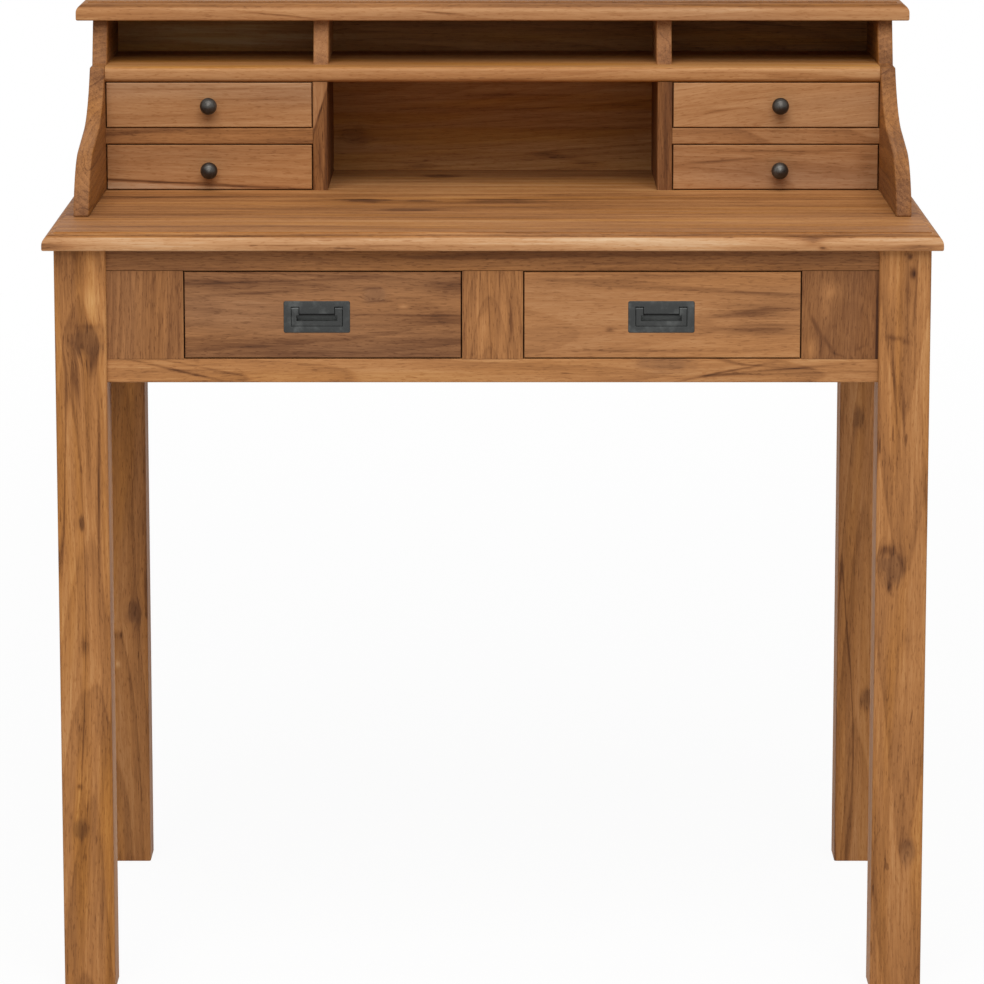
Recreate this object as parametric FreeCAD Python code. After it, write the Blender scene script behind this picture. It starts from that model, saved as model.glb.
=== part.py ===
import FreeCAD, Part
import math
import os

os.makedirs("parts", exist_ok=True)

# Writing desk with a stepped hutch, in millimetres. X runs to the right, Y to the back and Z up.
# The origin lies on the floor under the middle of the desktop.

# Desktop and its moulded edge, which the hutch top shares
desk_width = 900.0
desk_depth = 600.0
desk_height = 783.0
top_thick = 18.0
moulding_inset = 10.0
moulding_step = 1.5
moulding_drop = 10.0
lip_round = 2.0

# Legs
leg_size = 52.0
leg_round = 3.0
top_overhang = 11.0

# Rails, stiles and aprons between the legs
apron_setback = 6.0
apron_height = 135.0
apron_thick = 22.0
apron_round = 1.5
top_rail_height = 22.0
bottom_rail_height = 24.0
rail_depth = 45.0
centre_stile_width = 61.0
side_stile_width = 77.0
stile_depth = 22.0
tenon_length = 20.0
tenon_shoulder = 5.0
stub_length = 8.0
head_shoulder = 14.0
joint_clearance = 0.1

# Runners under the main drawers, kickers over them and stops behind their fronts
runner_ledge = 20.0
runner_height = 18.0
guide_thick = 14.0
guide_height = 24.0
stop_width = 30.0
stop_height = 5.0
stop_spacing = 120.0

# Hutch boards
board_thick = 16.0
hutch_end_inset = 21.0
hutch_back_inset = 30.0
back_panel_thick = 10.0
back_rabbet = 8.0
housing_depth = 6.0
housing_setback = 10.0
board_round = 1.5
shelf_nose = 5.0
hutch_top_thick = 20.0
hutch_top_overhang = 17.0
small_opening_height = 49.5
small_opening_width = 221.0
small_rail_thick = 17.0
pigeonhole_height = 46.5

# Outline of a hutch side, with depths measured back from the desktop's front edge
scroll_front = 135.0
scroll_lean = 15.5
scroll_round = 86.0
scroll_slope = 10.0
scroll_hollow = 140.0
scroll_top = 366.0
upright_foot = 398.0
upright_head = 416.0

# Main drawers
main_front_thick = 20.0
main_side_thick = 12.0
main_bottom_thick = 6.0
main_groove = 6.0
main_lap = 10.0
main_bottom_rise = 10.0
main_side_drop = 2.5
main_tail = 12.0
main_back_room = 74.0
main_gap = 1.2

# Small drawers in the hutch
small_setback = 368.0
small_front_thick = 14.0
small_side_thick = 8.0
small_bottom_thick = 4.0
small_groove = 4.0
small_lap = 7.0
small_bottom_rise = 5.0
small_side_drop = 2.0
small_tail = 4.0
small_gap = 1.0

drawer_front_round = 1.2
running_clearance = 0.3

# Flush pull: a plate with a cup behind it and a bail that lies in the plate's opening
plate_width = 66.5
plate_height = 32.0
plate_thick = 2.5
plate_round = 2.0
cup_depth = 12.0
cup_wall = 2.0
bail_width = 50.6
bail_height = 18.6
bail_thick = 3.2
bail_arm = 4.8
bail_lug = 7.0
bail_lug_height = 6.5
bail_gap = 0.6
bail_pivot_height = 8.0
finger_slot = 7.4
pivot_radius = 0.8
pivot_clearance = 0.1
pivot_seat = 1.5
left_pull_shift = -6.0
right_pull_shift = -1.0
pull_drop = 2.0

# Ball knobs
knob_radius = 8.8
knob_reach = 13.0
knob_foot_radius = 6.5
knob_foot_thick = 2.0
knob_neck_radius = 3.6
knob_button_radius = 2.6
knob_button_height = 0.6
knob_stud_radius = 2.0
knob_stud_length = 9.0
stud_clearance = 0.05
right_knob_shift = 4.0
lower_knob_drop = 2.5

# Places worked out from the sizes above
half_width = desk_width / 2
front = -desk_depth / 2
back = desk_depth / 2
under_top = desk_height - top_thick
leg_outer = half_width - top_overhang
leg_inner = leg_outer - leg_size
leg_front = front + top_overhang
leg_back = back - top_overhang
apron_front = leg_front + apron_setback
apron_back = leg_back - apron_setback
apron_side = leg_outer - apron_setback
apron_bottom = under_top - apron_height
opening_bottom = apron_bottom + bottom_rail_height
opening_top = under_top - top_rail_height
opening_inner = centre_stile_width / 2
opening_outer = leg_inner - side_stile_width
rail_back = apron_front + rail_depth
runner_back = apron_back - apron_thick
main_length = runner_back - main_back_room - apron_front

hutch_outer = half_width - hutch_end_inset
hutch_inner = hutch_outer - board_thick
hutch_back = back - hutch_back_inset
panel_front = hutch_back - back_panel_thick
small_front = front + small_setback
lower_top = desk_height + small_opening_height
upper_bottom = lower_top + small_rail_thick
shelf_bottom = upper_bottom + small_opening_height
shelf_top = shelf_bottom + board_thick
hutch_top_bottom = shelf_top + pigeonhole_height
partition_outer = hutch_inner - small_opening_width
partition_inner = partition_outer - board_thick

X_AXIS = FreeCAD.Vector(1, 0, 0)
Y_AXIS = FreeCAD.Vector(0, 1, 0)
Z_AXIS = FreeCAD.Vector(0, 0, 1)


def block(limits):
    """A solid block from its least and greatest X, Y and Z."""
    x0, x1, y0, y1, z0, z1 = limits
    return Part.makeBox(x1 - x0, y1 - y0, z1 - z0, FreeCAD.Vector(x0, y0, z0))


def grown(limits, room):
    """Limits moved outward by the same room on every side."""
    x0, x1, y0, y1, z0, z1 = limits
    return (x0 - room, x1 + room, y0 - room, y1 + room, z0 - room, z1 + room)


def socket(limits):
    """The hole that takes a tenon, tongue or board end with these limits."""
    return block(grown(limits, joint_clearance))


def mirrored(shape):
    """The same shape on the other side of the desk."""
    return shape.mirror(FreeCAD.Vector(0, 0, 0), X_AXIS)


def mirrored_limits(limits):
    """The same limits on the other side of the desk."""
    return (-limits[1], -limits[0]) + limits[2:]


def edges_along(shape, axis):
    """The straight edges of a shape that run along an axis."""
    found = []
    for edge in shape.Edges:
        if isinstance(edge.Curve, Part.Line):
            if abs(edge.tangentAt(edge.FirstParameter).dot(axis)) > 0.999:
                found.append(edge)
    return found


def eased_front(shape, radius, axes):
    """The shape with those edges of its front face softened that run along one of some axes."""
    foremost = shape.BoundBox.YMin
    edges = []
    for axis in axes:
        edges.extend(e for e in edges_along(shape, axis) if e.BoundBox.YMax < foremost + 0.01)
    return shape.makeFillet(radius, edges)


def save(name, shapes):
    """Write one piece, or a group of like pieces, to its own file."""
    solids = []
    for shape in shapes:
        solids.extend(shape.Solids)
    result = solids[0] if len(solids) == 1 else Part.makeCompound(solids)
    result.exportStep("parts/" + name + ".step")


def moulded_section(half, thick):
    """Closed outline of a moulded board in (across, up) points and arcs, seen along its edge.

    Each side has a small step, a swelling round down to the lip and a softened lower corner.
    """
    shoulder = half - moulding_inset
    step_foot = thick - moulding_step
    lip = thick - moulding_drop
    bow = 0.7071
    swell_across = shoulder + moulding_inset * bow
    swell_up = lip + (step_foot - lip) * bow
    corner = lip_round * (1 - bow)
    right = [
        ("line", (shoulder, thick), (shoulder, step_foot)),
        ("arc", (shoulder, step_foot), (swell_across, swell_up), (half, lip)),
        ("line", (half, lip), (half, lip_round)),
        ("arc", (half, lip_round), (half - corner, corner), (half - lip_round, 0)),
    ]
    left = []
    for kind, *points in reversed(right):
        left.append((kind, *[(-across, up) for across, up in reversed(points)]))
    bridge = ("line", (half - lip_round, 0), (-half + lip_round, 0))
    cover = ("line", (-shoulder, thick), (shoulder, thick))
    return right + [bridge] + left + [cover]


def moulded_board(half_x, y0, y1, bottom, thick):
    """A board whose moulded edge runs round all four sides and mitres at the corners.

    It is what two long moulded bars, one along each axis, have in common.
    """
    middle = (y0 + y1) / 2
    half_y = (y1 - y0) / 2

    def bar(half, length, place):
        edges = []
        for kind, *points in moulded_section(half, thick):
            vectors = [place(across, up) for across, up in points]
            if kind == "arc":
                edges.append(Part.Arc(*vectors).toShape())
            else:
                edges.append(Part.makeLine(*vectors))
        return Part.Face(Part.Wire(edges)).extrude(length)

    along_x = bar(half_y, X_AXIS * (2 * half_x),
                  lambda across, up: FreeCAD.Vector(-half_x, middle + across, bottom + up))
    along_y = bar(half_x, Y_AXIS * (2 * half_y),
                  lambda across, up: FreeCAD.Vector(across, y0, bottom + up))
    return along_x.common(along_y).removeSplitter()


def foot_tongue(x0, x1, y0):
    """Limits of the tongue under an upright hutch board, housed in the desktop."""
    inset = board_thick / 4
    return (x0 + inset, x1 - inset, y0 + housing_setback, panel_front - inset,
            desk_height - housing_depth, desk_height)


side_foot = foot_tongue(hutch_inner, hutch_outer, front + scroll_front)
partition_foot = foot_tongue(partition_inner, partition_outer, small_front)


def leg_places():
    """Name and least X and Y of each leg."""
    places = []
    for end, y0 in (("front", leg_front), ("back", leg_back - leg_size)):
        for side, x0 in (("left", -leg_outer), ("right", leg_inner)):
            places.append((end + "_" + side + "_leg", x0, y0))
    return places


def leg_tenon(x0, y0):
    """Limits of the stub tenon on a leg's head, housed in the desktop."""
    t = head_shoulder
    return (x0 + t, x0 + leg_size - t, y0 + t, y0 + leg_size - t, under_top, under_top + stub_length)


def make_desktop():
    """The moulded desktop, mortised below for the legs and grooved above for the hutch."""
    board = moulded_board(half_width, front, back, under_top, top_thick)
    feet = [side_foot, partition_foot]
    feet = feet + [mirrored_limits(foot) for foot in feet]
    heads = [leg_tenon(x0, y0) for name, x0, y0 in leg_places()]
    save("desktop", [board.cut([socket(limits) for limits in feet + heads])])


def rail_with_tenons(limits, axis):
    """A rail or apron whose ends have a shouldered tenon along X or Y; returns it and its tenons."""
    x0, x1, y0, y1, z0, z1 = limits
    t = tenon_shoulder
    if axis == "x":
        tenons = [(x0 - tenon_length, x0, y0 + t, y1 - t, z0 + t, z1 - t),
                  (x1, x1 + tenon_length, y0 + t, y1 - t, z0 + t, z1 - t)]
    else:
        tenons = [(x0 + t, x1 - t, y0 - tenon_length, y0, z0 + t, z1 - t),
                  (x0 + t, x1 - t, y1, y1 + tenon_length, z0 + t, z1 - t)]
    body = block(limits)
    length = X_AXIS if axis == "x" else Y_AXIS
    body = body.makeFillet(apron_round, edges_along(body, length))
    return body.fuse([block(tenon) for tenon in tenons]).removeSplitter(), tenons


def stile_with_stubs(x0, x1):
    """An upright block of the front frame, with a stub tenon into the rail above and below it."""
    y0 = apron_front
    y1 = apron_front + stile_depth
    t = tenon_shoulder
    stubs = [(x0 + t, x1 - t, y0 + t, y1 - t, opening_bottom - stub_length, opening_bottom),
             (x0 + t, x1 - t, y0 + t, y1 - t, opening_top, opening_top + stub_length)]
    body = block((x0, x1, y0, y1, opening_bottom, opening_top))
    return body.fuse([block(stub) for stub in stubs]).removeSplitter(), stubs


def make_base():
    """Legs, rails, stiles and aprons, with every tenon in its mortise."""
    left_stile, left_stubs = stile_with_stubs(-leg_inner, -opening_outer)
    centre_stile, centre_stubs = stile_with_stubs(-opening_inner, opening_inner)
    right_stile, right_stubs = stile_with_stubs(opening_outer, leg_inner)
    save("left_front_stile", [left_stile])
    save("centre_front_stile", [centre_stile])
    save("right_front_stile", [right_stile])
    stub_holes = [socket(stub) for stub in left_stubs + centre_stubs + right_stubs]

    top_rail, tenons = rail_with_tenons(
        (-leg_inner, leg_inner, apron_front, rail_back, opening_top, under_top), "x")
    save("front_top_rail", [top_rail.cut(stub_holes)])
    bottom_rail, more = rail_with_tenons(
        (-leg_inner, leg_inner, apron_front, rail_back, apron_bottom, opening_bottom), "x")
    save("front_bottom_rail", [bottom_rail.cut(stub_holes)])
    tenons = tenons + more
    back_apron, more = rail_with_tenons(
        (-leg_inner, leg_inner, runner_back, apron_back, apron_bottom, under_top), "x")
    save("back_apron", [back_apron])
    tenons = tenons + more
    for name, inner in (("left", -apron_side), ("right", apron_side - apron_thick)):
        apron, more = rail_with_tenons(
            (inner, inner + apron_thick, leg_front + leg_size, leg_back - leg_size,
             apron_bottom, under_top), "y")
        save(name + "_side_apron", [apron])
        tenons = tenons + more

    mortises = [socket(tenon) for tenon in tenons]
    for name, x0, y0 in leg_places():
        leg = block((x0, x0 + leg_size, y0, y0 + leg_size, 0, under_top))
        leg = leg.makeFillet(leg_round, edges_along(leg, Z_AXIS))
        leg = leg.fuse(block(leg_tenon(x0, y0))).removeSplitter()
        save(name, [leg.cut(mortises)])


def make_drawer_supports():
    """Runners with guides, kickers and stops for the two main drawers."""
    runner_top = opening_bottom
    ledge_bottom = runner_top - runner_height
    ledge_edge = opening_outer - runner_ledge
    side_ledge = block((ledge_edge, opening_outer + guide_thick, rail_back, runner_back,
                        ledge_bottom, runner_top))
    side_guide = block((opening_outer, opening_outer + guide_thick, rail_back, runner_back,
                        runner_top, runner_top + guide_height))
    side_runner = side_ledge.fuse(side_guide).removeSplitter()
    centre_ledge = block((-opening_inner - runner_ledge, opening_inner + runner_ledge,
                          rail_back, runner_back, ledge_bottom, runner_top))
    centre_guide = block((-opening_inner, opening_inner, rail_back, runner_back,
                          runner_top, runner_top + guide_height))
    centre_runner = centre_ledge.fuse(centre_guide).removeSplitter()
    save("drawer_runners", [mirrored(side_runner), centre_runner, side_runner])

    side_kicker = block((ledge_edge, opening_outer + guide_thick, rail_back, runner_back,
                         opening_top, under_top))
    centre_kicker = block((-opening_inner - runner_ledge, opening_inner + runner_ledge,
                           rail_back, runner_back, opening_top, under_top))
    save("drawer_kickers", [mirrored(side_kicker), centre_kicker, side_kicker])

    stops = []
    drawer_middle = (opening_inner + opening_outer) / 2
    for middle in (-drawer_middle, drawer_middle):
        for shift in (-stop_spacing / 2, stop_spacing / 2):
            x0 = middle + shift - stop_width / 2
            stops.append(block((x0, x0 + stop_width, apron_front + main_front_thick, rail_back,
                                opening_bottom, opening_bottom + stop_height)))
    save("drawer_stops", stops)


def scroll_outline():
    """Outline of a hutch side in (Y, Z) edges, from the foot of the scroll and round to the back.

    A round leans back from the foot, runs out along a straight neck, and a hollow sweeps up to the
    ledge at shelf height. Above the ledge a slanting upright carries the top.
    """
    lean = math.radians(scroll_lean)
    slope = math.radians(scroll_slope)
    foot = FreeCAD.Vector(0, front + scroll_front, desk_height)
    round_centre = foot + FreeCAD.Vector(0, scroll_round * math.cos(lean), -scroll_round * math.sin(lean))

    def on_round(angle):
        return round_centre + FreeCAD.Vector(0, -math.cos(angle), math.sin(angle)) * scroll_round

    neck_start = on_round(math.pi / 2 - slope)
    round_middle = on_round((lean + math.pi / 2 - slope) / 2)

    # The hollow ends on the ledge, where its steepness follows from its radius and the neck's line.
    ledge_front = FreeCAD.Vector(0, front + scroll_top, shelf_top)
    along = FreeCAD.Vector(0, math.cos(slope), math.sin(slope))
    across = FreeCAD.Vector(0, -math.sin(slope), math.cos(slope))
    reach = ledge_front - neck_start
    rise = reach.dot(across)
    run = math.sqrt(scroll_hollow ** 2 - (scroll_hollow - rise) ** 2)
    hollow_start = neck_start + along * (reach.dot(along) - run)
    hollow_centre = hollow_start + across * scroll_hollow
    half_turn = math.asin(run / scroll_hollow) / 2
    to_middle = along * math.sin(half_turn) - across * math.cos(half_turn)
    hollow_middle = hollow_centre + to_middle * scroll_hollow

    upright_start = FreeCAD.Vector(0, front + upright_foot, shelf_top)
    upright_end = FreeCAD.Vector(0, front + upright_head, hutch_top_bottom)
    back_top = FreeCAD.Vector(0, hutch_back, hutch_top_bottom)
    back_foot = FreeCAD.Vector(0, hutch_back, desk_height)
    return [
        Part.Arc(foot, round_middle, neck_start).toShape(),
        Part.makeLine(neck_start, hollow_start),
        Part.Arc(hollow_start, hollow_middle, ledge_front).toShape(),
        Part.makeLine(ledge_front, upright_start),
        Part.makeLine(upright_start, upright_end),
        Part.makeLine(upright_end, back_top),
        Part.makeLine(back_top, back_foot),
        Part.makeLine(back_foot, foot),
    ]


def upright_front(height):
    """Y of the slanting front of an upright or divider at a height."""
    share = (height - shelf_top) / (hutch_top_bottom - shelf_top)
    return front + upright_foot + share * (upright_head - upright_foot)


def tongue_into_top(x0, x1):
    """Limits of the tongue on an upright board's head, housed in the hutch top."""
    inset = board_thick / 4
    y0 = upright_front(hutch_top_bottom) + inset
    return (x0 + inset, x1 - inset, y0, panel_front - inset,
            hutch_top_bottom, hutch_top_bottom + housing_depth)


def make_hutch():
    """Hutch boards: sides, shelf, partitions, drawer rails, dividers, back panel and top."""
    shelf_end = (hutch_inner, hutch_inner + housing_depth, front + upright_foot + housing_setback,
                 panel_front, shelf_bottom, shelf_top)
    rail_outer_end = (hutch_inner, hutch_inner + housing_depth, small_front + housing_setback,
                      panel_front, lower_top, upper_bottom)
    rail_inner_end = (partition_outer - housing_depth, partition_outer, small_front + housing_setback,
                      panel_front, lower_top, upper_bottom)
    panel_limits = (-hutch_inner - back_rabbet, hutch_inner + back_rabbet,
                    panel_front, hutch_back, desk_height, hutch_top_bottom)
    partition_tongue = (partition_inner + board_thick / 4, partition_outer - board_thick / 4,
                        small_front + board_thick / 4, panel_front - board_thick / 4,
                        shelf_bottom, shelf_bottom + housing_depth)
    divider_foot = (partition_inner + board_thick / 4, partition_outer - board_thick / 4,
                    upright_front(shelf_top) + board_thick / 4, panel_front - board_thick / 4,
                    shelf_top - housing_depth, shelf_top)
    side_tongue = tongue_into_top(hutch_inner, hutch_outer)
    divider_tongue = tongue_into_top(partition_inner, partition_outer)

    side = Part.Face(Part.Wire(scroll_outline())).extrude(X_AXIS * board_thick)
    side.translate(X_AXIS * hutch_inner)
    side = side.fuse([block(side_tongue), block(side_foot)]).removeSplitter()
    side = side.cut([socket(shelf_end), socket(rail_outer_end), block(panel_limits)])
    save("hutch_right_side", [side])
    save("hutch_left_side", [mirrored(side)])

    shelf = block((-hutch_inner, hutch_inner, front + scroll_top, panel_front, shelf_bottom, shelf_top))
    shelf = eased_front(shelf, shelf_nose, [X_AXIS])
    shelf = shelf.fuse([block(shelf_end), block(mirrored_limits(shelf_end))]).removeSplitter()
    tongues = [partition_tongue, divider_foot]
    tongues = tongues + [mirrored_limits(tongue) for tongue in tongues]
    save("hutch_shelf", [shelf.cut([socket(tongue) for tongue in tongues])])

    partition = block((partition_inner, partition_outer, small_front, panel_front,
                       desk_height, shelf_bottom))
    partition = eased_front(partition, board_round, [Z_AXIS])
    partition = partition.fuse([block(partition_tongue), block(partition_foot)]).removeSplitter()
    partition = partition.cut(socket(rail_inner_end))
    save("right_partition", [partition])
    save("left_partition", [mirrored(partition)])

    small_rail = block((partition_outer, hutch_inner, small_front, panel_front, lower_top, upper_bottom))
    small_rail = eased_front(small_rail, board_round, [X_AXIS])
    small_rail = small_rail.fuse([block(rail_outer_end), block(rail_inner_end)]).removeSplitter()
    save("right_small_drawer_rail", [small_rail])
    save("left_small_drawer_rail", [mirrored(small_rail)])

    corners = [(upright_front(shelf_top), shelf_top), (upright_front(hutch_top_bottom), hutch_top_bottom),
               (panel_front, hutch_top_bottom), (panel_front, shelf_top)]
    points = [FreeCAD.Vector(partition_inner, y, z) for y, z in corners]
    divider = Part.Face(Part.makePolygon(points + points[:1])).extrude(X_AXIS * board_thick)
    slant = [edge for edge in divider.Edges
             if edge.BoundBox.ZMax - edge.BoundBox.ZMin > 0.01 and edge.BoundBox.YMin < panel_front - 0.01]
    divider = divider.makeFillet(board_round, slant)
    divider = divider.fuse([block(divider_foot), block(divider_tongue)]).removeSplitter()
    save("right_pigeonhole_divider", [divider])
    save("left_pigeonhole_divider", [mirrored(divider)])

    save("hutch_back_panel", [block(panel_limits)])

    top_front = upright_front(hutch_top_bottom) - hutch_top_overhang
    top = moulded_board(hutch_outer + hutch_top_overhang, top_front, hutch_back + hutch_top_overhang,
                        hutch_top_bottom, hutch_top_thick)
    tongues = [side_tongue, divider_tongue]
    tongues = tongues + [mirrored_limits(tongue) for tongue in tongues]
    save("hutch_top", [top.cut([socket(tongue) for tongue in tongues])])


class DrawerSizes:
    """Board sizes that drawers of one kind share."""

    def __init__(self, front_board, side, bottom, groove, lap, rise, drop, tail, gap):
        self.front_board = front_board
        self.side = side
        self.bottom = bottom
        self.groove = groove
        self.lap = lap
        self.rise = rise
        self.drop = drop
        self.tail = tail
        self.gap = gap


main_sizes = DrawerSizes(main_front_thick, main_side_thick, main_bottom_thick, main_groove, main_lap,
                         main_bottom_rise, main_side_drop, main_tail, main_gap)
small_sizes = DrawerSizes(small_front_thick, small_side_thick, small_bottom_thick, small_groove, small_lap,
                          small_bottom_rise, small_side_drop, small_tail, small_gap)


def drawer_boards(opening, y0, length, sizes):
    """Front, left side, right side, back and bottom of an inset drawer in an opening.

    The opening is (x0, x1, z0, z1). The sides lap into the front, the back is housed in the sides,
    and the bottom runs in grooves and passes under the back.
    """
    x0, x1, z0, z1 = opening
    left = x0 + sizes.gap
    right = x1 - sizes.gap
    front_back = y0 + sizes.front_board
    lap_y = front_back - sizes.lap
    end = y0 + length
    side_bottom = z0 + running_clearance
    side_top = z1 - sizes.drop
    bottom_z = z0 + sizes.rise
    bottom_top = bottom_z + sizes.bottom
    back_end = end - sizes.tail
    back_start = back_end - sizes.side
    c = joint_clearance
    groove_left = left + sizes.side - sizes.groove
    groove_right = right - sizes.side + sizes.groove

    bottom_limits = (groove_left + c, groove_right - c, front_back - sizes.groove + c, back_end,
                     bottom_z, bottom_top)
    back_limits = (groove_left + c, groove_right - c, back_start, back_end, bottom_top, side_top)
    groove = block((groove_left, groove_right, front_back - sizes.groove, end,
                    bottom_z - c, bottom_top + c))
    housing = block((groove_left, groove_right, back_start - c, back_end + c, bottom_top, z1))

    front_board = block((left, right, y0, front_back, z0 + sizes.gap, z1 - sizes.gap))
    front_board = eased_front(front_board, drawer_front_round, [X_AXIS, Z_AXIS])
    laps = [block((left, left + sizes.side, lap_y, front_back, z0, z1)),
            block((right - sizes.side, right, lap_y, front_back, z0, z1))]
    front_board = front_board.cut(laps + [groove])
    sides = []
    for inner in (left, right - sizes.side):
        side = block((inner, inner + sizes.side, lap_y, end, side_bottom, side_top))
        sides.append(side.cut([groove, housing]))
    return front_board, sides[0], sides[1], block(back_limits), block(bottom_limits)


def rounded_plate(width, height, thick, radius):
    """An upright plate on the XZ plane, facing -Y, with rounded corners."""
    plate = block((-width / 2, width / 2, 0, thick, -height / 2, height / 2))
    return plate.makeFillet(radius, edges_along(plate, Y_AXIS))


def make_pull(name, drawer_front, x, y, z):
    """Plate, pins and bail of a flush pull; returns the drawer front with its recess cut.

    The bail fills the plate's opening round a tongue that hangs from the upper edge. The gap between
    the tongue and the bail's bar is the finger slot.
    """
    place = FreeCAD.Vector(x, y, z)
    arm_outer = bail_width / 2
    bail_bottom = bail_pivot_height + bail_thick / 2 - bail_height
    bar_top = bail_bottom + bail_arm
    tongue_end = bar_top + finger_slot
    hole_half = arm_outer + bail_gap
    hole_bottom = bail_bottom - bail_gap
    hole_top = bail_pivot_height + bail_thick / 2 + bail_gap
    tongue_half = arm_outer - bail_lug - bail_gap

    cup = (-hole_half - cup_wall, hole_half + cup_wall, plate_thick, cup_depth,
           hole_bottom - cup_wall, hole_top + cup_wall)
    well = block((-hole_half, hole_half, 0, cup_depth - cup_wall, hole_bottom, hole_top))
    tongue = block((-tongue_half, tongue_half, 0, plate_thick, tongue_end, hole_top))
    body = rounded_plate(plate_width, plate_height, plate_thick, plate_round).fuse(block(cup))
    body = body.cut(well).fuse(tongue).removeSplitter()

    # The bail's arms end in round lugs about the pivot, so that they turn clear of the plate.
    pivot = FreeCAD.Vector(0, bail_thick / 2, bail_pivot_height)
    bar = block((-arm_outer, arm_outer, 0, bail_thick, bail_bottom, bar_top))
    pieces = []
    pins = []
    pin_holes = []
    for side in (-1, 1):
        arm = block((arm_outer - bail_arm, arm_outer, 0, bail_thick, bail_bottom, bail_pivot_height))
        lug = block((arm_outer - bail_lug, arm_outer, 0, bail_thick,
                     bail_pivot_height - bail_lug_height, bail_pivot_height))
        eye = Part.makeCylinder(bail_thick / 2, bail_lug, pivot + X_AXIS * (arm_outer - bail_lug), X_AXIS)
        pin_start = arm_outer - bail_lug + pivot_seat
        pin_length = hole_half + pivot_seat - pin_start
        pin = Part.makeCylinder(pivot_radius, pin_length, pivot + X_AXIS * pin_start, X_AXIS)
        hole = Part.makeCylinder(pivot_radius + pivot_clearance, bail_lug,
                                 pivot + X_AXIS * (pin_start - pivot_clearance), X_AXIS)
        shapes = [arm, lug, eye, pin, hole]
        if side < 0:
            shapes = [mirrored(shape) for shape in shapes]
        pieces.extend(shapes[:3])
        pins.append(shapes[3])
        pin_holes.append(shapes[4])
    bail = bar.fuse(pieces).removeSplitter().cut(pin_holes)
    body = body.cut(pins)

    recess = rounded_plate(plate_width + 2 * joint_clearance, plate_height + 2 * joint_clearance,
                           plate_thick, plate_round)
    pocket = recess.fuse(block(grown(cup, joint_clearance)))
    for shape in [body, bail, pocket] + pins:
        shape.translate(place)
    save(name + "_pull_plate", [body])
    save(name + "_pull_pins", pins)
    save(name + "_pull_bail", [bail])
    return drawer_front.cut(pocket)


def make_main_drawers():
    """The two wide drawers under the desktop, each with its flush pull."""
    middle = (opening_inner + opening_outer) / 2
    pull_z = (opening_bottom + opening_top) / 2 - pull_drop
    places = (("left", (-opening_outer, -opening_inner), -middle + left_pull_shift),
              ("right", (opening_inner, opening_outer), middle + right_pull_shift))
    for side, span, pull_x in places:
        name = side + "_drawer"
        boards = drawer_boards(span + (opening_bottom, opening_top), apron_front, main_length, main_sizes)
        drawer_front, left_side, right_side, drawer_back, bottom = boards
        drawer_front = make_pull(side, drawer_front, pull_x, apron_front, pull_z)
        save(name + "_front", [drawer_front])
        save(name + "_left_side", [left_side])
        save(name + "_right_side", [right_side])
        save(name + "_back", [drawer_back])
        save(name + "_bottom", [bottom])


def knob(x, y, z):
    """A turned knob: foot, neck, ball, a button on its nose and a stud into the drawer front.

    It is one outline, with radii along X and heights along Z, turned about Z and laid towards -Y.
    """
    def at(radius, height):
        return FreeCAD.Vector(radius, 0, height)

    neck_top = knob_reach - math.sqrt(knob_radius ** 2 - knob_neck_radius ** 2)
    button_foot = knob_reach + math.sqrt(knob_radius ** 2 - knob_button_radius ** 2)
    nose = knob_reach + knob_radius + knob_button_height
    foot = [at(0, -knob_stud_length), at(knob_stud_radius, -knob_stud_length), at(knob_stud_radius, 0),
            at(knob_foot_radius, 0), at(knob_foot_radius, knob_foot_thick),
            at(knob_neck_radius, knob_foot_thick), at(knob_neck_radius, neck_top)]
    ball = Part.Arc(at(knob_neck_radius, neck_top), at(knob_radius, knob_reach),
                    at(knob_button_radius, button_foot)).toShape()
    button = [at(knob_button_radius, button_foot), at(knob_button_radius, nose), at(0, nose), foot[0]]
    edges = Part.makePolygon(foot).Edges + [ball] + Part.makePolygon(button).Edges
    whole = Part.Face(Part.Wire(edges)).revolve(FreeCAD.Vector(0, 0, 0), Z_AXIS, 360)
    whole.rotate(FreeCAD.Vector(0, 0, 0), X_AXIS, 90)
    whole.translate(FreeCAD.Vector(x, y, z))
    return whole


def make_small_drawers():
    """The four small hutch drawers, in pairs one above the other, each with its knob."""
    length = panel_front - small_front - running_clearance
    middle = (partition_outer + hutch_inner) / 2
    sides = (("left", (-hutch_inner, -partition_outer), -middle),
             ("right", (partition_outer, hutch_inner), middle + right_knob_shift))
    levels = (("lower", desk_height, lower_top, lower_knob_drop),
              ("upper", upper_bottom, shelf_bottom, 0.0))
    for side, span, knob_x in sides:
        for level, z0, z1, knob_drop in levels:
            name = level + "_" + side
            boards = drawer_boards(span + (z0, z1), small_front, length, small_sizes)
            drawer_front, left_side, right_side, drawer_back, bottom = boards
            knob_z = (z0 + z1) / 2 - knob_drop
            stud_hole = Part.makeCylinder(knob_stud_radius + stud_clearance,
                                          knob_stud_length + stud_clearance,
                                          FreeCAD.Vector(knob_x, small_front, knob_z), Y_AXIS)
            save(name + "_small_drawer_front", [drawer_front.cut(stud_hole)])
            save(name + "_small_drawer_box", [left_side, right_side, drawer_back])
            save(name + "_small_drawer_bottom", [bottom])
            save(name + "_knob", [knob(knob_x, small_front, knob_z)])


make_desktop()
make_base()
make_drawer_supports()
make_hutch()
make_main_drawers()
make_small_drawers()
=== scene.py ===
"""Campaign writing desk in oiled teak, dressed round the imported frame.

Most boards of the frame keep their shape and get sawn-wood finishes. The desktop, the legs, the hutch's
top, shelf and scrolled sides, the flush pulls and the turned knobs are new surfaces that stand for the
plain solids.
"""

import math

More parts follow.
